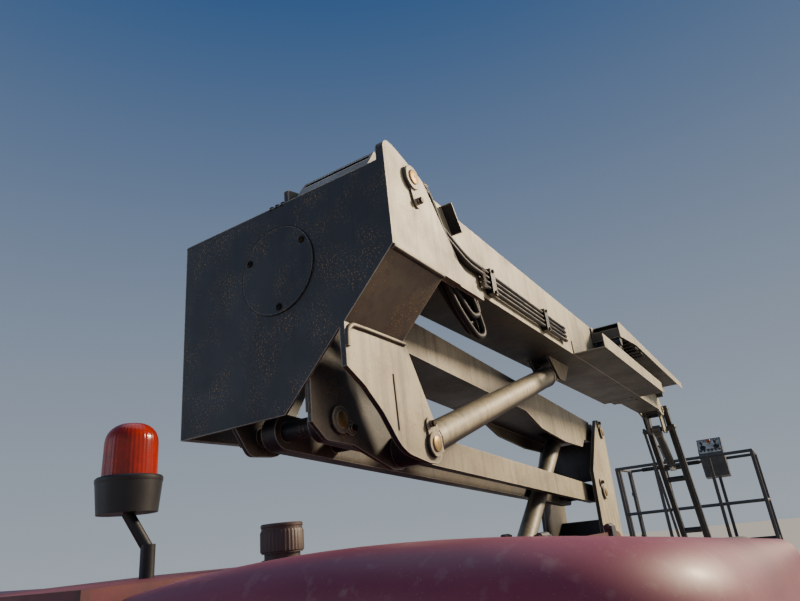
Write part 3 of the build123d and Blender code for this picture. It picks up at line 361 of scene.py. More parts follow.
# Places below are in millimetres from the slewing axis on the ground; the shared frame's origin is elsewhere
fromSlewing = np.array((-1965, 0, 0))
overhead, forwards, rearwards, leftwards = (0, 0, 1), (1, 0, 0), (-1, 0, 0), (0, 1, 0)


def gridFaces(rows, columns, wrapRows=False, wrapColumns=False):
    # quads of a grid of rows x columns points, joined round where wrapped
    r = np.arange(rows if wrapRows else rows - 1)
    c = np.arange(columns if wrapColumns else columns - 1)
    r, c = np.meshgrid(r, c, indexing="ij")
    nextR, nextC = (r + 1) % rows, (c + 1) % columns
    quads = np.stack([r * columns + c, nextR * columns + c, nextR * columns + nextC, r * columns + nextC], axis=-1)
    return quads.reshape(-1, 4)


def tubeFaces(rows, steps, hollow=False):
    # rings one after the other; the two end rings get a face each, or are joined to each other
    faces = gridFaces(rows, steps, hollow, True)[:, ::-1].tolist()
    if not hollow:
        faces += [list(range(steps))[::-1], list(range((rows - 1) * steps, rows * steps))]
    return faces


def frameAt(place, out, up):
    # rows are right, up and out, at right angles: right = up x out
    out = unit(np.array(out, float))
    right = unit(np.cross(up, out))
    return np.array([right, np.cross(out, right), out]), np.array(place, float)


def turned(profile, place, axis, steps=24, flute=None, hollow=False):
    # lathe surface: radius r and height h of each profile row carried round an axis,
    # place + r cos(a) right + r sin(a) up + h axis; flute gives r a wave, r (1 + depth cos(count a));
    # hollow joins the last row to the first, for a ring
    basis, origin = frameAt(place, axis, overhead if abs(axis[2]) < 0.9 else forwards)
    angle = np.arange(steps) * 2 * np.pi / steps
    count, depth = flute or (0, 0)
    radius, height = np.array(profile, float).T[:, :, None]
    radius = radius * (1 + depth * np.cos(count * angle))
    points = np.stack([radius * np.cos(angle), radius * np.sin(angle), height + 0 * angle], axis=-1)
    return points.reshape(-1, 3) @ basis + origin, tubeFaces(len(profile), steps, hollow)


def lengthAlong(path):
    return np.append(0, np.cumsum(np.linalg.norm(np.diff(path, axis=0), axis=1)))


def carried(profile, path, up=leftwards, wave=None):
    # a closed profile of (side, height) carried along a path: path + side (up x t) + height (t x side),
    # with t the path's direction by central differences; wave = (pitch, depth) swells it along the way
    path, profile = np.array(path, float), np.array(profile, float)
    direction = unit(np.gradient(path, axis=0))
    side = unit(np.cross(up, direction))
    rise = np.cross(direction, side)
    pitch, depth = wave or (1, 0)
    swell = 1 + depth * np.abs(np.sin(np.pi * lengthAlong(path) / pitch))
    around = profile[None, :, :1] * side[:, None] + profile[None, :, 1:] * rise[:, None]
    points = path[:, None] + swell[:, None, None] * around
    return points.reshape(-1, 3), tubeFaces(len(path), len(profile))


def ringPoints(radius, steps=12, start=0):
    # so many (c, s) places round a circle; start is in steps
    angle = (np.arange(steps) + start) * 2 * np.pi / steps
    return np.stack([radius * np.cos(angle), radius * np.sin(angle)], axis=1)


def smoothPath(corners, bend, steps=6):
    # straight runs with each corner cut by a quadratic arc: (1-t)^2 a + 2t(1-t) corner + t^2 b
    corners = np.array(corners, float)
    t = np.linspace(0, 1, steps)[:, None]
    pieces = [corners[:1]]
    for before, corner, after in zip(corners[:-2] - corners[1:-1], corners[1:-1], corners[2:] - corners[1:-1]):
        reach = min(bend, 0.45 * np.linalg.norm(before), 0.45 * np.linalg.norm(after))
        a, b = corner + unit(before) * reach, corner + unit(after) * reach
        pieces.append((1 - t) ** 2 * a + 2 * t * (1 - t) * corner + t ** 2 * b)
    return np.concatenate([*pieces, corners[-1:]])


def spacedPath(path, step):
    # the same line with a point every few millimetres, for beads
    length = lengthAlong(path)
    at = np.linspace(0, length[-1], max(3, int(length[-1] / step)))
    return np.stack([np.interp(at, length, path[:, k]) for k in range(3)], axis=1)


def panel(width, height, wall, radius, place, out, edge=2, up=overhead, crown=0):
    # rounded plate: a superellipse outline |u/a|^n + |v/b|^n = 1 in rings at the foot, the shoulder and the top,
    # and a top whose middle stands a little proud or sunk
    power = max(2, 0.9 * min(width, height) / max(radius, 1))
    c, s = ringPoints(1, 48).T
    u, v = np.sign(c) * np.abs(c) ** (2 / power), np.sign(s) * np.abs(s) ** (2 / power)
    rings = [(0, 0), (0, wall - edge), (edge * 0.3, wall - edge * 0.3), (edge, wall),
             (min(width, height) * 0.25, wall + crown)]
    points = [np.stack([(width / 2 - inset) * u, (height / 2 - inset) * v, rise + 0 * u], axis=1)
              for inset, rise in rings]
    basis, origin = frameAt(place, out, up)
    return np.concatenate(points) @ basis + origin, tubeFaces(len(rings), 48)


def hexHead(radius, height, place, out, washer=0):
    # hexagon head with a chamfered top, on a round washer: six steps round the axis
    top = washer + height
    head = turned([(radius, washer), (radius, top - height * 0.18), (radius * 0.86, top)], place, out, 6)
    if not washer:
        return head
    rows = [(radius * 1.35, 0), (radius * 1.35, washer * 0.8), (radius * 1.25, washer)]
    return together([head, turned(rows, place, out, 20)])


def sidePlate(outline, yFrom, yTo):
    # prism between two places across the machine, from an outline of (x, z); the shoelace sum
    # x z' - x' z tells which way round the outline runs
    outline = np.array(outline, float)
    after = np.roll(outline, -1, axis=0)
    if np.sum(outline[:, 0] * after[:, 1] - after[:, 0] * outline[:, 1]) < 0:
        outline = outline[::-1]
    points = np.concatenate([np.insert(outline, 1, y, axis=1) for y in sorted((yFrom, yTo))])
    count = len(outline)
    k = np.arange(count)
    after = (k + 1) % count
    sides = np.stack([k, k + count, after + count, after], axis=1)
    return points, sides.tolist() + [k.tolist(), (k + count)[::-1].tolist()]


def slab(x, z, yFrom, yTo):
    return sidePlate([(x[0], z[0]), (x[1], z[0]), (x[1], z[1]), (x[0], z[1])], yFrom, yTo)


def shell(front, back, flip=False):
    # two grids of points, one behind the other, closed round their rim
    rows, columns = front.shape[:2]
    count = rows * columns
    grid = gridFaces(rows, columns)
    index = np.arange(count).reshape(rows, columns)
    rim = np.concatenate([index[0, :-1], index[:-1, -1], index[-1, :0:-1], index[:0:-1, 0]])
    after = np.roll(rim, -1)
    faces = np.concatenate([grid[:, ::-1], grid + count, np.stack([after, rim, rim + count, after + count], axis=1)])
    return np.concatenate([front.reshape(-1, 3), back.reshape(-1, 3)]), (faces[:, ::-1] if flip else faces).tolist()


def together(parts):
    # several closed surfaces as one mesh: their points in a row, the faces' numbers moved on
    points, faces, count = [], [], 0
    for more, moreFaces in parts:
        points.append(more)
        faces += [[k + count for k in face] for face in moreFaces]
        count += len(more)
    return np.concatenate(points), faces


def makePiece(name, shape, finish, body, sharp=32, replaced=()):
    # finish is a slot of the record, or a material with a slot of the record beside it; that slot is not used
    material, slotName = (finishes[finish], finish) if isinstance(finish, str) else finish
    points, faces = shape if isinstance(shape, tuple) else together(shape)
    mesh = bpy.data.meshes.new(name)
    mesh.from_pydata(((points + fromSlewing) * 0.001).tolist(), [], faces)
    mesh.polygons.foreach_set("use_smooth", np.ones(len(mesh.polygons), dtype=bool))
    mesh.set_sharp_from_angle(angle=math.radians(sharp))
    mesh.materials.append(material)
    piece = bpy.data.objects.new(name, mesh)
    bpy.context.scene.collection.objects.link(piece)
    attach(piece, body)
    if replaced:
        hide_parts(*replaced)


def sidePoint(centre, angle, along, across=0):
    # point in the side view, so far along a line at an angle and so far across it
    c, s = math.cos(math.radians(angle)), math.sin(math.radians(angle))
    return centre[0] + along * c - across * s, centre[1] + along * s + across * c


# Pins of the arms and the boom, in the side view
pins = {"mastLow": (1703, 1730), "mastTop": (1978, 2160), "rearLow": (-1190.1, 1929.8),
        "rearTop": (-915.1, 2359.8), "boom": (-1172, 2680), "foot": (-860, 1853),
        "boomCylinder": (929, 2425), "armFoot": (190, 1190), "armCylinder": (1535, 2165),
        "jibFoot": (4141, 2367), "jibCylinder": (4560.5, 1999.9)}
boomMiddle = -215

# Keepers: a round head over each pin, a tongue out to its bolt's boss, and the pin's turned face.
# Columns are pin, tongue's angle, its reach, face across the machine, side it faces
keepers = {
    "knuckle": [("boom", -72, 84, -460, -1), ("foot", 104, 70, -262, -1), ("rearLow", -20, 62, -114, -1),
                ("rearTop", -20, 62, -114, -1), ("rearLow", 200, 62, 222, 1), ("rearTop", 200, 62, 222, 1)],
    "turntable": [("mastTop", 118, 74, -150, -1), ("mastLow", 118, 74, -150, -1), ("mastTop", 62, 74, 258, 1),
                  ("mastLow", 62, 74, 258, 1)],
}
keeper = {"head": [(44, -2), (44, 13.5), (42, 15.5), (26.4, 15.5), (26.4, 19), (25, 20)],
          "boss": [(12.5, 4), (12.5, 17), (11.5, 18)], "bossTop": 18, "bolt": (12, 9),
          "face": [(26, -2), (26, 0.48), (24.5, 1.2), (5, 1.2), (3.5, -1.8)], "pinTop": 20,
          "tongueHalf": 23, "tongueFoot": -1, "tongueTop": 8}
for body, rows in keepers.items():
    heads, ends, plates = [], [], []
    for pin, angle, reach, y, side in rows:
        out, half = (0, side, 0), keeper["tongueHalf"]
        (pinX, pinZ), (x, z) = pins[pin], sidePoint(pins[pin], angle, reach)
        heads.append(hexHead(*keeper["bolt"], (x, y + side * keeper["bossTop"], z), out))
        ends.append(turned(keeper["face"], (pinX, y + side * keeper["pinTop"], pinZ), out, 32))
        plates.append(turned(keeper["head"], (pinX, y, pinZ), out, 40))
        plates.append(turned(keeper["boss"], (x, y, z), out, 20))
        tongue = [sidePoint((x, z), angle + turn, half) for turn in np.linspace(90, -90, 9)]
        tongue = [sidePoint(pins[pin], angle, 0, half), *tongue, sidePoint(pins[pin], angle, 0, -half)]
        plates.append(sidePlate(tongue, y + side * keeper["tongueFoot"], y + side * keeper["tongueTop"]))
    makePiece(body + "Keepers", plates, "cream_paint", body)
    makePiece(body + "KeeperBolts", heads, darkBolt, body)
    makePiece(body + "PinFaces", ends, pinSteel, body)

# Plain pin ends: a bolt and a washer in the middle. Columns are x, z, half the pin's length
plainPins = {"boom_third": [(4130, 2560, 112)], "head": [(4290, 2580, 138), (4290, 2380, 164)],
             "rotator": [(4966.2, 1129.9, 138), (4966.2, 929.9, 164)]}
for body, rows in plainPins.items():
    makePiece(body + "PinBolts", [hexHead(9, 7, (x, boomMiddle + side * half, z), (0, side, 0), 2.5)
                                  for x, z, half in rows for side in (-1, 1)], zincBolt, body)
print("pins and keepers")

# Round cover on the knuckle's rear plate: a dark gap round it and three button-head bolts
cover = {"x": -1328.3, "z": 2443, "gap": [(159.6, -2), (159.6, 0.5), (156.8, 0.5), (156.8, -2)],
         "boltRing": 136, "angles": (146.8, 266.8, 26.8),
         "bolt": [(13, 0), (13, 1.6), (10, 1.8), (9.2, 4.6), (6, 6.2), (4.2, 6.2), (4, 3.2)]}
makePiece("coverGap", [turned(cover["gap"], (cover["x"], 0, cover["z"]), rearwards, 96, None, True)], sealRubber,
          "knuckle")
boltPlaces = [sidePoint((0, cover["z"]), angle, cover["boltRing"]) for angle in cover["angles"]]
makePiece("coverBolts", [turned(cover["bolt"], (cover["x"], y, z), rearwards) for y, z in boltPlaces], darkBolt,
          "knuckle")

# Weld beads. Columns are the path, the bead's radius
welds = {
    "knuckle": [
        ([(-1318, -454, 2377), (-1002, -454, 2377)], 9),
        ([(-986, -264, 2186), (-1200, -264, 2186), (-1292, -264, 2184), (-1316, -264, 2160), (-1318, -264, 2110)], 8),
        ([(-1075, -263, 2066), (-1072, -263, 1960), (-1070, -263, 1884)], 3.2),
        ([(-1316, -430, 2454), (-1316, -430, 2676)], 6),
        ([(-1314, 60, 2438), (-1314, 420, 2438)], 6),
        ([(-1314, -98, 1945), (-1314, -98, 2430)], 6),
        ([(-1314, 222, 1975), (-1314, 222, 2430)], 6),
    ],
    "boom": [([(740, -237, 2489), (1118, -237, 2489)], 5), ([(740, -110, 2489), (1118, -110, 2489)], 5)],
    "turntable": [([(1440, -151, 1056), (2030, -151, 1056)], 6), ([(1440, 259, 1056), (2030, 259, 1056)], 6)],
}
bead = {"ripple": (5.5, 0.16), "bend": 40, "step": 2.75, "up": (0.31, 0.19, 0.93)}
for body, rows in welds.items():
    beads = [carried(ringPoints(radius, 8), spacedPath(smoothPath(path, bead["bend"]), bead["step"]), bead["up"],
                     bead["ripple"]) for path, radius in rows]
    makePiece(body + "Welds", beads, weldMetal, body, 60)

# Hose ends on the knuckle's top edge, left of the boom: three capped unions
topUnions = {"x": -1312, "ys": (-28, -2, 24), "foot": 2684, "out": (0, 0.12, 1)}
makePiece("knuckleUnions", [hexHead(11, 13, (topUnions["x"], y, topUnions["foot"]), topUnions["out"], 3)
                            for y in topUnions["ys"]], darkBolt, "knuckle")
print("knuckle trim")

# Hoses: five loops that hang between two brackets and two that run on to the boom's pipes, with a crimped
# ferrule, a hexagon nut and a union through the plate at each end. A loop's columns are y, its step inwards
# and its lowest place; a run's are y and the heights of its two ends
hoseSet = {
    "loops": [(-387, 0, 2262), (-413, 0, 2240), (-387, 24, 2296), (-413, 24, 2318), (-387, 48, 2340)],
    "runs": [(-387, 2696, 2607), (-387, 2672, 2582)], "top": 2768, "foot": 2420, "waist": 2560,
    "loopRadius": 12.4, "loopBend": 110, "runRadius": 11, "runBend": 130, "runFront": (-620, -482),
    "plates": (-1011.7, -935.7), "plateWall": 8.6, "ferruleAt": 14,
    "crimp": [(10.4, 0), (13.2, 0.6)] + [(radius, 5 * k + h) for k in range(6) for radius, h in
                                         ((13.2, 2), (11.9, 3.5), (13.2, 5))] + [(13.2, 33), (10.4, 34)],
}
upper = [(y, hoseSet["top"] - step) for y, step, low in hoseSet["loops"]] + [run[:2] for run in hoseSet["runs"]]
lower = [(y, hoseSet["foot"] + step) for y, step, low in hoseSet["loops"]]
nuts, crimps = [], []
for places, plateX in zip((upper, lower), hoseSet["plates"]):
    for y, z in places:
        nuts += [hexHead(12, 15, (plateX, y, z), forwards),
                 hexHead(11, 14, (plateX - hoseSet["plateWall"], y, z), rearwards)]
        crimps.append(turned(hoseSet["crimp"], (plateX + hoseSet["ferruleAt"], y, z), forwards, 20))
makePiece("hoseNuts", nuts, zincBolt, "boom")
makePiece("hoseFerrules", crimps, blackZinc, "boom")

# Bracket plates that hold the hoses' ends and the tab that guides their loops, welded to the boom's side
bracket = {"x": -1060, "skin": -369.5, "foot": -376, "edge": -425}
bx, skin, foot, edge = bracket.values()
makePiece("hoseBrackets", [
    slab((bx, bx + 8), (2618, 2786), edge, skin),
    sidePlate([(bx, 2618), (bx + 56, 2624), (bx + 56, 2780), (bx, 2786)], foot, skin),
    slab((bx + 76, bx + 84), (2406, 2540), edge, skin),
    slab((bx + 76, bx + 130), (2492, 2540), foot, skin),
    sidePlate([(-820, 2788), (-768, 2788), (-702, 2680), (-754, 2680)], foot, skin),
    sidePlate([(-773, 2788), (-768, 2788), (-702, 2680), (-707, 2680)], edge, skin),
], "cream_paint", "boom")
hoses = []
for y, step, low in hoseSet["loops"]:
    top, waist, end = hoseSet["top"] - step, hoseSet["waist"] - step, hoseSet["foot"] + step
    corners = [(bx - 8, top), (bx + 96 - step, top), (bx + 232 - step, waist), (bx + 400 - step, low + 128),
               (bx + 446 - step, low + 26), (bx + 372 - step, low), (bx + 250 - step / 2, low + 66),
               (bx + 136, end), (bx + 68, end)]
    path = smoothPath([(x, y, z) for x, z in corners], hoseSet["loopBend"], 9)
    hoses.append(carried(ringPoints(hoseSet["loopRadius"], 14), path))
for y, top, end in hoseSet["runs"]:
    corners = [(bx - 8, y, top), (bx + 150, y, top), *((x, y - 1, end) for x in hoseSet["runFront"])]
    hoses.append(carried(ringPoints(hoseSet["runRadius"], 14), smoothPath(corners, hoseSet["runBend"], 9)))
makePiece("boomHoses", hoses, hoseCover, "boom", 50)

# Steel pipes along the boom's side, with a hexagon union at each end and two clamps
pipeSet = {"heights": (2532, 2557, 2582, 2607), "y": -388, "rear": -482, "front": 658, "radius": 9,
           "clamps": (-410, 289), "clampFace": -403}
y, rear, front, face = (pipeSet[key] for key in ("y", "rear", "front", "clampFace"))
pipes = [carried(ringPoints(pipeSet["radius"], 14), [(x, y, z) for x in (rear, 0, front)]) for z in pipeSet["heights"]]
unions = [hexHead(12.5, 34, (x, y, z), forwards) for z in pipeSet["heights"] for x in (rear - 2, front - 32)]
clamps = [slab((x, x + 48), (2510, 2629), face, skin) for x in pipeSet["clamps"]]
clamps += [hexHead(8, 7, (x + 24, face, z), (0, -1, 0), 1.5) for x in pipeSet["clamps"] for z in (2519.5, 2620)]
makePiece("boomPipes", pipes, blackZinc, "boom")
makePiece("pipeUnions", unions, zincBolt, "boom")
makePiece("pipeClamps", clamps, "dark_plastic", "boom")

# Chain of the power track, where the tray and the push rail leave it open: links of two six-sided plates
# and two cross bars. The bend's links lie on a half circle, x = m - r sin(a), z = n - r cos(a)
chain = {"x": 1547.35, "z": 2642.65, "radius": 109.35, "pitch": 100, "low": 2528.3, "high": 2757,
         "right": -548, "left": -388.5, "half": 33, "plate": 9.7, "nose": 16, "lap": 13, "nest": 10,
         "bar": [(-17, -4), (17, -4), (17, 4), (-17, 4)], "barInset": 5}
linkPlaces = [(chain["x"] + chain["pitch"] * (k + 0.5), chain["low"], 0, chain["pitch"]) for k in (3, 2, 1, 0)]
chord = 2 * chain["radius"] * math.sin(math.radians(22.5))
linkPlaces += [(*sidePoint((chain["x"], chain["z"]), 270 - a, chain["radius"]), -a, chord)
               for a in (22.5, 67.5, 112.5, 157.5)]
linkPlaces += [(chain["x"] + chain["pitch"] * (k + 0.5), chain["high"], 0, chain["pitch"]) for k in range(8)]
links = []
for k, (x, z, angle, pitch) in enumerate(linkPlaces):
    long, high = pitch / 2 + chain["lap"], chain["half"]
    flat, nest = long - chain["nose"], chain["nest"] * (k % 2)
    outline = [(-long, 0), (-flat, high), (flat, high), (long, 0), (flat, -high), (-flat, -high)]
    corners = [sidePoint((x, z), angle, *corner) for corner in outline]
    right, left = chain["right"] + nest, chain["left"] - nest
    links += [sidePlate(corners, right, right + chain["plate"]), sidePlate(corners, left - chain["plate"], left)]
    for sign in (-1, 1):
        bar = [sidePoint((x, z), angle, along, sign * (high - chain["barInset"]) + across)
               for along, across in chain["bar"]]
        links.append(sidePlate(bar, chain["right"] + chain["barInset"], chain["left"] - chain["barInset"]))
makePiece("trackChain", links, "dark_plastic", "boom")

# Screws that hold the slide pads in the ends of the boom's sections: bodies, front end, half width, and the
# side and height of those in the flanks
padScrews = [("boom", 2734, 155, [(-1, -25), (1, -95), (1, 95)]), ("boom_second", 3010, 130, [(1, -75), (1, 75)])]
screw = {"rows": [(11, 0), (11, 1.6), (8.5, 1.8), (8.5, 4.4), (7.6, 5), (4.4, 5), (4.2, 2)], "back": (66, 24),
         "spread": 0.6}
boomCentre = np.array((0, boomMiddle, 2645))
for body, front, half, flanks in padScrews:
    heads = []
    for x in (front - back for back in screw["back"]):
        places = [((x, side * half, up), (0, side, 0)) for side, up in flanks]
        places += [((x, across * screw["spread"] * half, up * half), (0, 0, up))
                   for across in (-1, 1) for up in (-1, 1)]
        heads += [turned(screw["rows"], boomCentre + at, out, 16) for at, out in places]
    makePiece(body + "PadScrews", heads, zincBolt, body)
print("boom trim")

# Hydraulic cylinders: gland nut with spanner slots, weld ring at the foot, two port bosses and a steel line.
# Columns are body, foot, eye, y, barrel radius, foot's end, gland's end, first port's place, bosses' height
cylinders = [
    ("boom_barrel", "foot", "boomCylinder", -178, 58, 120, 1770, 420, 11),
    ("arm_barrel", "armFoot", "armCylinder", 40, 50, 110, 1500, 210, 11),
    ("jib_barrel", "jibFoot", "jibCylinder", boomMiddle, 40, 50, 505, 230, 4),
]
# The line's columns are the end it is counted from, along, across, and out from the boss
cylinderTrim = {"ring": [(-1, 0), (2.5, 3), (3, 6), (2.5, 9), (-1, 12)],
                "nut": [(-1, 0), (3.5, 1.5), (3.5, 26), (1, 29)],
                "nutDepth": 28, "slots": (12, 0.006), "glandPort": -66, "lineOut": 6,
                "line": [("gland", -66, 0, 0), ("gland", -90, -10, 0), ("gland", -130, -16, -6),
                         ("port", 56, -16, -6), ("port", 22, 10, 0), ("port", 8, 20, 0)]}
for body, foot, eye, y, radius, start, gland, port, rise in cylinders:
    (footX, footZ), (eyeX, eyeZ) = pins[foot], pins[eye]
    angle = math.degrees(math.atan2(eyeZ - footZ, eyeX - footX))
    along = (math.cos(math.radians(angle)), 0, math.sin(math.radians(angle)))

    def onAxis(reach, across=0, aside=0):
        x, z = sidePoint((footX, footZ), angle, reach, across)
        return (x, y + aside, z)

    nutRows = [(radius + proud, h) for proud, h in cylinderTrim["nut"]] + [(radius * 0.62, 29)]
    ringRows = [(radius + proud, h) for proud, h in cylinderTrim["ring"]]
    ports = []
    for reach in (port, gland + cylinderTrim["glandPort"]):
        bossRows = [(15, -6), (15, rise - 1), (13.5, rise + 1)]
        ports += [turned(bossRows, onAxis(reach, 0, radius * 0.98), leftwards, 20),
                  hexHead(10.5, 12, onAxis(reach, 0, radius + rise), leftwards)]
    lineY, ends = radius + rise + cylinderTrim["lineOut"], {"gland": gland, "port": port}
    path = [onAxis(ends[end] + reach, across, lineY + out) for end, reach, across, out in cylinderTrim["line"]]
    nutPlace = onAxis(gland - cylinderTrim["nutDepth"])
    makePiece(body + "Rings", [turned(nutRows, nutPlace, along, 72, cylinderTrim["slots"]),
                               turned(ringRows, onAxis(start + 8), along, 48)], "cream_paint", body)
    makePiece(body + "Ports", ports, blackZinc, body)
    makePiece(body + "Line", carried(ringPoints(5), spacedPath(smoothPath(path, 30), 12)), blackZinc, body)
print("cylinders trimmed")

# Mast: a sheet between its plates with two rows of five pressed louvres, the lower row's blades longer.
# A row's columns are first y, z, blade's height, pitch
mastSheet = {"size": (360, 270, 6, 6), "place": (1776, 54, 1950), "bladeX": 1770.5, "blades": 5,
             "rows": [(-93, 2042, 57, 21), (-46, 1886, 100, 15)]}
makePiece("mastSheet", [panel(*mastSheet["size"], mastSheet["place"], rearwards, 1)], "cream_paint", "turntable")
blades = [panel(9, height, 4, 4, (mastSheet["bladeX"], y + pitch * k, z), rearwards, 1.5)
          for y, z, height, pitch in mastSheet["rows"] for k in range(mastSheet["blades"])]
makePiece("mastLouvres", blades, "dark_plastic", "turntable")

# Beacon: fluted amber dome over a bulb and a bent reflector, held by a black clamp ring
beacon = {"x": -1800, "y": 40, "foot": 1750.3, "radius": 61, "height": 137, "flutes": (40, 0.006),
          "bulb": [(9, 0), (9, 18), (6.5, 22), (10.5, 34), (11, 44), (8, 54), (3, 58)],
          "clamp": [(60, -4), (72.5, -4), (74, -1), (74, 7), (71, 10.5), (64, 11), (62.2, 9)]}
beaconFoot = (beacon["x"], beacon["y"], beacon["foot"])
# dome: straight flank to two thirds, then a quarter of a superellipse, r = R (1 - u^2.4)^(1/2.4)
t = np.linspace(0, 1, 28)
u = np.clip((t - 0.62) / 0.38, 0, 1)
height = beacon["height"] * t
radius = beacon["radius"] * (1 - 0.04 * t) * np.maximum(1 - u ** 2.4, 0) ** (1 / 2.4)
radius[-1] = 1.5
outer = np.stack([radius, height], axis=1)
inner = np.stack([np.maximum(radius - 3, 0.6), height - 2.2 * t], axis=1)[::-1]
dome = turned(np.concatenate([outer, inner]), beaconFoot, overhead, 160, beacon["flutes"])
makePiece("beaconDome", dome, "amber_lens", "turntable", 50, ("beacon_lens",))
# reflector: part of a parabola, x = -30 + 18 a^2, y = 30 a, drawn in towards its top by 1 - v^2 / 4
a, v = np.meshgrid(np.linspace(-1.2, 1.2, 17), np.linspace(0, 1, 9), indexing="ij")
sheet = np.stack([-30 + 18 * a ** 2, 30 * a * (1 - 0.25 * v ** 2), 8 + 92 * v], axis=-1) + beaconFoot
makePiece("beaconReflector", shell(sheet, sheet + (1.6, 0, 0), True), reflectorMetal, "turntable")
makePiece("beaconBulb", turned(beacon["bulb"], np.add(beaconFoot, (0, 0, 6)), overhead, 28), bulbGlass, "turntable")
makePiece("beaconRing", turned(beacon["clamp"], beaconFoot, overhead, 96, (48, 0.004), True), "dark_plastic",
          "turntable")

# Filler cap: fluted grip, a raised lip and the neck's ring
cap = {"place": (-1608, -253, 1540), "flutes": (36, 0.012),
       "grip": [(44, 24), (48.2, 26), (48.2, 66), (46.5, 70), (45.5, 72)],
       "lip": [(45.5, 76), (47.4, 77.5), (47.4, 82), (45, 84.6), (38, 84.9), (37, 83.5)],
       "neck": [(40, 0), (47, 0.5), (47.5, 7), (44, 10), (39.5, 10)]}
makePiece("capGrip", [turned(cap["grip"], cap["place"], overhead, 144, cap["flutes"]),
                      turned(cap["lip"], cap["place"], overhead, 64)], capPhenolic, "turntable")
makePiece("capNeckRing", turned(cap["neck"], cap["place"], overhead, 64, None, True), sealRubber, "turntable")
print("beacon and filler cap")

# Tyres: the casing of the solids with slanted lugs, their edges rounded.
# Columns are place across the tyre, casing radius, lug radius
tyreSection = np.array([
    (0, 462, 462), (8, 462, 462), (12, 462, 498), (60, 462, 500), (110, 462, 500), (140, 461, 499),
    (158, 452, 496), (170, 441, 491), (175.5, 428, 479), (177.5, 405, 440), (180, 380, 402), (180, 352, 356),
    (176, 344, 346), (179, 338, 338), (172, 318, 318), (160, 300, 300), (150, 285, 285), (148, 268, 268),
    (146, 263, 263)], float)
tyre = {"lugs": 24, "lean": 26, "steps": 16, "edge": 5, "radius": 500, "track": 1020, "first": 64,
        "shoulder": (8, 168), "half": (30, 8), "leanRadius": 470}
wheels = {"front_left": (1375, 1), "front_right": (1375, -1), "rear_left": (-1375, 1),
          "rear_right": (-1375, -1)}


def tyreShape(axleX, side):
    # point at turn a and section row s: casing + mask (lug - casing), where the mask is 1 inside a slanted lug,
    # |r (a - a0) - centre(v)| < half width(v), and falls to 0 over the rounded edge
    rows = np.concatenate([tyreSection[::-1] * (-1, 1, 1), tyreSection[1:]])
    across, casing, lug = rows.T
    count = tyre["lugs"] * tyre["steps"]
    turn = np.arange(count) * 2 * np.pi / count
    first = 1.5 * math.pi - math.asin(tyre["first"] / tyre["radius"])
    pitch = 4 * np.pi / tyre["lugs"]
    offset = np.where(across > 0, 0, pitch / 2)
    away = (turn[:, None] - first - offset + pitch / 2) % pitch - pitch / 2
    reach = np.clip((np.abs(across) - tyre["shoulder"][0]) / tyre["shoulder"][1], 0, 1)
    centre = -tyre["lean"] + 2 * tyre["lean"] * reach
    half = tyre["half"][0] + tyre["half"][1] * reach
    gap = (half - np.abs(away * tyre["leanRadius"] - centre)) / tyre["edge"]
    mask = np.clip(gap * 0.5 + 0.5, 0, 1)
    radius = casing + mask * mask * (3 - 2 * mask) * (lug - casing)
    x = axleX + radius * np.cos(turn)[:, None]
    z = tyre["radius"] + radius * np.sin(turn)[:, None]
    y = np.broadcast_to(side * (tyre["track"] + across), radius.shape)
    faces = gridFaces(count, len(across), wrapRows=True, wrapColumns=True)
    return np.stack([x, y, z], axis=-1).reshape(-1, 3), (faces[:, ::-1] if side > 0 else faces).tolist()


# Wheel trim: ten wheel nuts on their studs, eight hub bolts, a bead ring each side and the hub's cover
wheelTrim = {"nutFace": 56, "nuts": (118, 10, 0.5), "hubFace": 75, "hubBolts": (68, 8), "beads": (153, -153),
             "stud": [(8, 14), (8, 30), (6.5, 32)],
             "bead": [(251, -3), (262, -3), (263.5, 1), (262.5, 5), (257, 7), (252, 4)],
             "cover": [(44, 0), (44, 3), (41, 8), (28, 13), (12, 15), (3, 15.4)]}
for name, (axleX, side) in wheels.items():
    body = "wheel_" + name
    out = (0, side, 0)

    def onWheel(reach, x=0, z=0):
        return (axleX + x, side * (tyre["track"] + reach), tyre["radius"] + z)

    makePiece("tread_" + name, tyreShape(axleX, side), "tyre_rubber", body, 40, ("tyre_" + name,))
    nuts = []
    for x, z in ringPoints(*wheelTrim["nuts"]):
        at = onWheel(wheelTrim["nutFace"], x, z)
        nuts += [hexHead(16, 18, at, out, 3), turned(wheelTrim["stud"], at, out, 14)]
    nuts += [hexHead(8, 6, onWheel(wheelTrim["hubFace"], x, z), out, 1.5)
             for x, z in ringPoints(*wheelTrim["hubBolts"])]
    makePiece("nuts_" + name, nuts, zincBolt, body)
    rings = [turned(wheelTrim["bead"], onWheel(face), (0, side * math.copysign(1, face), 0), 96, None, True)
             for face in wheelTrim["beads"]]
    rings.append(turned(wheelTrim["cover"], onWheel(wheelTrim["hubFace"]), out, 40))
    makePiece("rimTrim_" + name, rings, "rim_paint", body)
print("tyres and wheels")

# Hoods: crowned gel-coat shells, rounded in plan and over their ends, falling towards the front
hoodForm = {"rear": -2118, "front": 1180, "outer": 1190, "inner": 340, "foot": 1050.8, "top": 1563,
            "fall": 170, "crest": 790, "crown": 0.00017, "rearCorner": 250, "frontCorner": 120,
            "shoulder": 88, "wall": 14}


def hoodTop(look, x, y):
    # z = top - fall along x - crown (y - crest)^2
    slope = look["fall"] * (x - look["rear"]) / (look["front"] - look["rear"])
    return look["top"] - slope - look["crown"] * (y - look["crest"]) ** 2


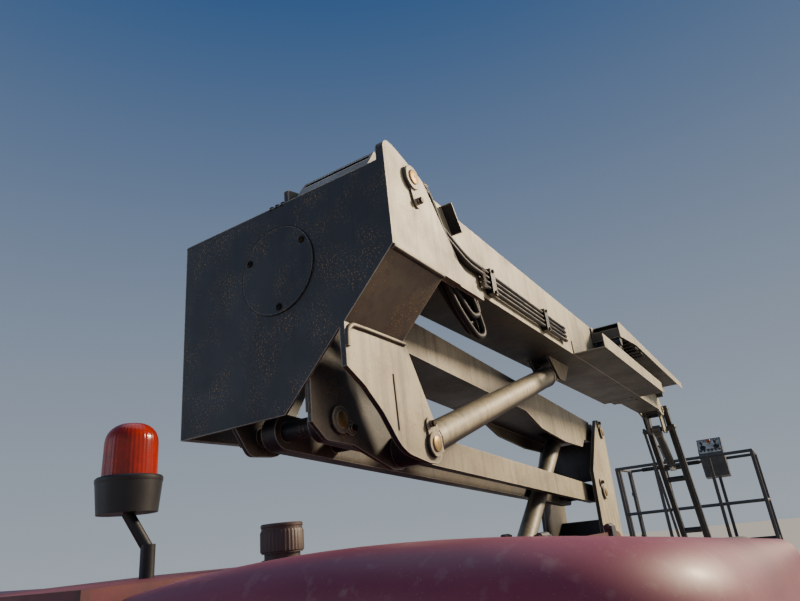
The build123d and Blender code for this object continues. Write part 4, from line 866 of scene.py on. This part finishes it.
def hoodSkin(look, inset):
    # rings of the plan outline: up the wall, over the shoulder, d = R (1 - cos t) in and R sin t up, then across
    # the crown to the inner edge
    rearX, frontX = look["rear"] + inset, look["front"] - inset
    outerY, innerY = look["outer"] - inset, look["inner"]
    a, b, r = look["rearCorner"] - inset, look["frontCorner"] - inset, look["shoulder"] - inset
    back, front = np.linspace(np.pi, np.pi / 2, 19), np.linspace(np.pi / 2, 0, 13)
    # the outline's five runs as x, y and the outward normal: rear wall, corner, side, corner, front wall
    runs = [
        (rearX, np.linspace(innerY, outerY - a, 12)[:-1], -1, 0),
        (rearX + a + a * np.cos(back), outerY - a + a * np.sin(back), np.cos(back), np.sin(back)),
        (np.linspace(rearX + a, frontX - b, 44)[1:-1], outerY, 0, 1),
        (frontX - b + b * np.cos(front), outerY - b + b * np.sin(front), np.cos(front), np.sin(front)),
        (frontX, np.linspace(outerY - b, innerY, 14)[1:], 1, 0),
    ]
    x, y, nx, ny = np.concatenate([np.stack(np.broadcast_arrays(*run)) for run in runs], axis=1)
    shoulderTop = hoodTop(look, x - nx * r, y - ny * r) - inset
    rings = [np.stack([x, y, look["foot"] + f * (shoulderTop - r - look["foot"])], axis=1) for f in (0, 0.5)]
    for t in np.linspace(0, np.pi / 2, 10):
        d = r * (1 - math.cos(t))
        rings.append(np.stack([x - nx * d, y - ny * d, shoulderTop - r + r * math.sin(t)], axis=1))
    coreX = np.linspace(rearX + r + 6, frontX - r - 6, len(x))
    for f in np.linspace(0, 1, 15)[1:]:
        px, py = (x - nx * r) * (1 - f) + coreX * f, (y - ny * r) * (1 - f) + innerY * f
        rings.append(np.stack([px, py, hoodTop(look, px, py) - inset], axis=1))
    return np.array(rings)


# Hinges: a barrel round each pin and a strap down to the shell's inner edge
hinge = {"places": (-1200, -100, 1000), "y": 318, "z": 1520, "half": 46, "strapHalf": 44, "lap": 34,
         "strapTop": 1522, "strapY": (333, 341), "barrel": [(8.2, 0), (15, 0), (15, 92), (8.2, 92), (8.2, 46)]}
hoodSides = (("hood_right", -1), ("hood_left", 1))
for node, side in hoodSides:
    body = node + "_side"
    outside, inside = (hoodSkin(hoodForm, inset) * (1, side, 1) for inset in (0, hoodForm["wall"]))
    makePiece(body + "Shell", shell(outside, inside, side > 0), "red_gel_coat", body, 60, (node,))
    hinges = []
    for x in hinge["places"]:
        at = (x - hinge["half"], side * hinge["y"], hinge["z"])
        low = hoodTop(hoodForm, x, hoodForm["inner"]) - hinge["lap"]
        strapX = (x - hinge["strapHalf"], x + hinge["strapHalf"])
        hinges += [turned(hinge["barrel"], at, forwards, 28, None, True),
                   slab(strapX, (low, hinge["strapTop"]), *(side * y for y in hinge["strapY"]))]
    makePiece(body + "Hinges", hinges, "grey_paint", body)

# Hood trim: rubber lip along the foot, two sunk paddle latches and a pull handle a side
hoodTrim = {"latches": (-1450, 560), "latchHeight": 1128, "handle": (-520, 1112), "face": 1190,
            "lip": [(-4, -6), (4, -6), (5, 0), (4, 6), (-4, 6)], "lipX": (-2117, 1179), "lipY": (400, 1188),
            "lipHeight": 1058, "lipBend": 250, "sunk": 0.5, "proud": 1.5, "plate": (150, 78, 3, 14),
            "paddle": (96, 48, 7, 10), "paddleAt": -10, "lockAt": 56,
            "lock": [(13, 0), (13, 5), (11.5, 6.5), (4, 6.5), (3.6, 3)], "pad": (46, 40, 4, 12),
            "pull": [(-90, -2), (-82, 26), (82, 26), (90, -2)], "pullRadius": 7, "pullBend": 26}
for node, side in hoodSides:
    body, out, face = node + "_side", (0, side, 0), side * hoodTrim["face"]
    lip = np.array(hoodTrim["lip"]) if side > 0 else np.array(hoodTrim["lip"])[::-1] * (-1, 1)
    (rearX, frontX), (innerY, outerY), z = hoodTrim["lipX"], hoodTrim["lipY"], hoodTrim["lipHeight"]
    lipPath = [(rearX, side * innerY, z), (rearX, side * outerY, z), (frontX, side * outerY, z),
               (frontX, side * innerY, z)]
    makePiece(body + "Lip", [carried(lip, smoothPath(lipPath, hoodTrim["lipBend"], 14), overhead)],
              sealRubber, body)
    sunk, proud = face - side * hoodTrim["sunk"], face + side * hoodTrim["proud"]
    plates, paddles, z = [], [], hoodTrim["latchHeight"]
    for x in hoodTrim["latches"]:
        plates.append(panel(*hoodTrim["plate"], (x, sunk, z), out, 1.2))
        paddles.append(panel(*hoodTrim["paddle"], (x + hoodTrim["paddleAt"], proud, z), out, crown=-2))
        paddles.append(turned(hoodTrim["lock"], (x + hoodTrim["lockAt"], proud, z), out, 28))
    makePiece(body + "LatchPlates", plates, blankPlate, body)
    makePiece(body + "Paddles", paddles, "dark_plastic", body)
    x, z = hoodTrim["handle"]
    pull = [(x + along, face + side * away, z) for along, away in hoodTrim["pull"]]
    grip = carried(ringPoints(hoodTrim["pullRadius"], 14), smoothPath(pull, hoodTrim["pullBend"], 8), overhead)
    pads = [panel(*hoodTrim["pad"], (end[0], sunk, z), out, 1.5) for end in (pull[0], pull[-1])]
    makePiece(body + "Handle", [grip] + pads, "dark_plastic", body)
print("hood trim")

# Deck: ring of bolts round the slewing axis, between the webs
deckBolts = {"ring": (262, 24, 0.5), "middle": -60, "deck": 1050.3}
makePiece("deckBolts", [hexHead(12, 11, (deckBolts["middle"] + x, y, deckBolts["deck"]), overhead, 3)
                        for x, y in ringPoints(*deckBolts["ring"])], zincBolt, "turntable")

# Counterweight: two through bolts with big washers, and a blank plate between them
weight = {"x": -2117.8, "bolts": (-210, 210), "boltHeight": 1300, "plate": (180, 90, 1.6, 8), "plateHeight": 1320,
          "washer": [(52, 0), (52, 5), (50, 6.5)]}
heads = []
for y in weight["bolts"]:
    at = (weight["x"], y, weight["boltHeight"])
    heads += [hexHead(26, 20, at, rearwards, 6), turned(weight["washer"], at, rearwards, 40)]
makePiece("weightBolts", heads, zincBolt, "turntable")
makePiece("weightPlate", [panel(*weight["plate"], (weight["x"], 0, weight["plateHeight"]), rearwards, 0.6)],
          blankPlate, "turntable")
print("deck and counterweight")

# Switches: each kind is a few lathe surfaces that stand on the face. Columns are finish, profile, steps
switchForms = {
    "stop": [("Yellow", [(24, 0), (24, 4), (22, 6), (14, 6)], 32),
             ("Red", [(10, 4), (10, 14), (20, 18), (21.5, 23), (18, 28), (8, 30.5), (1, 31)], 32)],
    "toggle": [("Black", [(11, 0), (11, 3), (9, 6), (6, 9), (5, 9.5)], 20),
               ("Steel", [(2.6, 4), (3.2, 20), (4.2, 27), (3, 30)], 14)],
    "key": [("Steel", [(12, 0), (12, 4), (10, 7), (2, 7)], 24)],
    "lamp": [("Red", [(5, 0), (5, 2), (4, 4.5), (1.5, 5.5)], 18)],
    "stick": [("Black", [(34, 0), (34, 4), (30, 7), (26, 9), (28, 13), (20, 17), (22, 21), (13, 26), (12, 34),
                         (6, 38)], 32),
              ("Black", [(6, 34), (6.5, 60), (12, 68), (15.5, 84), (15, 100), (10, 110), (2, 113)], 28)],
}
switchFinishes = {"Black": "dark_plastic", "Red": redMushroom, "Steel": zincBolt, "Yellow": yellowSwitch}
leverLean, keyBow, keyRise = 0.35, (7, 24, 20, 4), 6


def makeSwitches(prefix, rows, basis, origin, body):
    # one piece for each finish; a toggle's lever leans up the face, and a key's bow stands in its lock
    right, up, out = basis
    bits = {word: [] for word in switchFinishes}
    for kind, u, v in rows:
        at = origin + u * right + v * up
        for word, profile, steps in switchForms[kind]:
            lean = leverLean if (kind, word) == ("toggle", "Steel") else 0
            bits[word].append(turned(profile, at, out + lean * up, steps))
        if kind == "key":
            bits["Black"].append(panel(*keyBow, at + keyRise * out, out, up=up))
    for word, shapes in bits.items():
        if shapes:
            makePiece(prefix + word, shapes, switchFinishes[word], body)


# Platform console: raked face towards the operator. Columns are kind, place across, place up the face
console = {"corner": (5785.7, -510, 2180), "up": (0.601, 0, 0.799), "out": (-0.799, 0, 0.601),
           "face": (256, 214, 1.5, 14), "faceUp": 116, "hoopUp": 6, "hoopRadius": 6, "hoopBend": 34,
           "hoop": [(-128, -4), (-128, 62), (128, 62), (128, -4)],
           "rows": [("stick", -78, 96), ("stick", 78, 96), ("stop", 0, 186), ("key", 86, 196)]
           + [("toggle", u, 40) for u in (-105, -63, -21, 21, 63, 105)] + [("lamp", u, 192) for u in (-60, -84, -108)]}
basis, origin = frameAt(console["corner"], console["out"], console["up"])
makeSwitches("console", console["rows"], basis, origin, "basket")
makePiece("consoleFace", [panel(*console["face"], origin + console["faceUp"] * basis[1], console["out"], 0.8,
                                basis[1])], blankPlate, "basket")
hoop = [origin + (u, console["hoopUp"], 0) @ basis + np.multiply(proud, console["out"])
        for u, proud in console["hoop"]]
makePiece("consoleHoop", [carried(ringPoints(console["hoopRadius"], 14), smoothPath(hoop, console["hoopBend"], 8),
                                  basis[1])], "grey_paint", "basket")

# Ground controls on the front face of a box, under its lid
ground = {"corner": (1440, 400, 1060), "box": (124, 338, 240, 10), "boxPlace": (1200, 400, 1220),
          "lid": [(1196, 1384), (1206, 1398), (1438, 1398), (1462, 1380), (1462, 1374), (1196, 1374)],
          "lidY": (332, 468), "plate": (118, 190, 1.2, 8), "platePlace": (1440.1, 400, 1150),
          "rows": [("stop", -34, 196), ("key", 30, 200)] + [("toggle", u, 132) for u in (-40, -14, 12, 38)]
          + [("lamp", u, 92) for u in (-40, -14, 12)]}
makePiece("groundBox", [panel(*ground["box"], ground["boxPlace"], forwards, 5),
                        sidePlate(ground["lid"], *ground["lidY"])], "grey_paint", "turntable")
makeSwitches("ground", ground["rows"], *frameAt(ground["corner"], forwards, overhead), "turntable")
makePiece("groundFace", [panel(*ground["plate"], ground["platePlace"], forwards, 0.5)], blankPlate, "turntable")
print("controls")

# Basket floor: raised bars rolled into the plate, by turns along and across, 40 mm apart
bars = {"pitch": 40, "long": 15, "wide": 3.4, "rise": 1.6, "sunk": 0.1, "x": (5282, 6038),
        "y": (-958, 538), "top": 1030}
# lens of height h (1 - u^2)(1 - v^2), u along it and v across
u, v = np.meshgrid(np.linspace(-1, 1, 7), np.linspace(-1, 1, 3), indexing="ij")
lens = np.stack([u * bars["long"], v * bars["wide"] * np.sqrt(np.maximum(1 - u ** 2, 0.02)),
                 bars["rise"] * (1 - u ** 2) * (1 - v ** 2) - bars["sunk"]], axis=-1).reshape(-1, 3)
xs, ys = np.arange(*bars["x"], bars["pitch"]), np.arange(*bars["y"], bars["pitch"])
i, j = np.meshgrid(np.arange(len(xs)), np.arange(len(ys)), indexing="ij")
spots = np.stack([xs[i], ys[j], np.full(i.shape, bars["top"])], axis=-1).reshape(-1, 3)
spin = np.where((i + j) % 2 == 0, np.pi / 4, -np.pi / 4).reshape(-1, 1)
c, s = np.cos(spin), np.sin(spin)
points = np.stack([lens[:, 0] * c - lens[:, 1] * s, lens[:, 0] * s + lens[:, 1] * c, lens[:, 2] + 0 * c], axis=-1)
# a lens is 7 x 3 points, closed below by one face round its rim
rim = np.concatenate([np.arange(7) * 3, (19, 20), np.arange(5, -1, -1) * 3 + 2, (1,)])[::-1]
first = np.arange(len(spots)) * len(lens)
tops = (gridFaces(7, 3) + first[:, None, None]).reshape(-1, 4)
makePiece("floorTread", ((points + spots[:, None]).reshape(-1, 3), tops.tolist() + (rim + first[:, None]).tolist()),
          "floor_plate", "basket", 60)

# Basket: foam grip on the console's rail, blank plates on the toe boards and the gate's spring latch. Plates are
# size, place, direction
basket = {"grip": [(17.6, 0), (24, 3), (25, 9), (25, 701), (24, 707), (17.6, 710)], "gripPlace": (6035, -330, 2111),
          "knob": [(12, 0), (12, 26), (10, 30), (5, 31)], "knobPlace": (5420, 535, 1640),
          "latch": (44, 60, 5, 8), "latchPlace": (5438, 552, 1640),
          "plates": [((300, 90, 1.4, 10), (6037, -215, 1110), forwards),
                     ((240, 80, 1.4, 10), (5640, -967, 1110), (0, -1, 0))]}
makePiece("railGrip", [turned(basket["grip"], basket["gripPlace"], leftwards)], gripFoam, "basket")
makePiece("toePlates", [panel(*size, at, out, 0.6) for size, at, out in basket["plates"]], blankPlate, "basket")
makePiece("gateLatch", [turned(basket["knob"], basket["knobPlace"], rearwards, 20),
                        panel(*basket["latch"], basket["latchPlace"], leftwards, 1.5)], "dark_plastic", "gate")
print("basket trim")

# Floor: pale levelled concrete, far wider than the view
floorLook = {"half": 60, "colour": "BDBBB5", "worn": "CBC9C3"}
half = floorLook["half"]
mesh = bpy.data.meshes.new("floor")
mesh.from_pydata([(-half, -half, 0), (half, -half, 0), (half, half, 0), (-half, half, 0)], [], [(0, 1, 2, 3)])
floor = bpy.data.objects.new("floor", mesh)
bpy.context.scene.collection.objects.link(floor)
mesh.materials.append(moulded("paleConcrete", floorLook["colour"], floorLook["worn"], 80, 0.75))
print("floor laid")
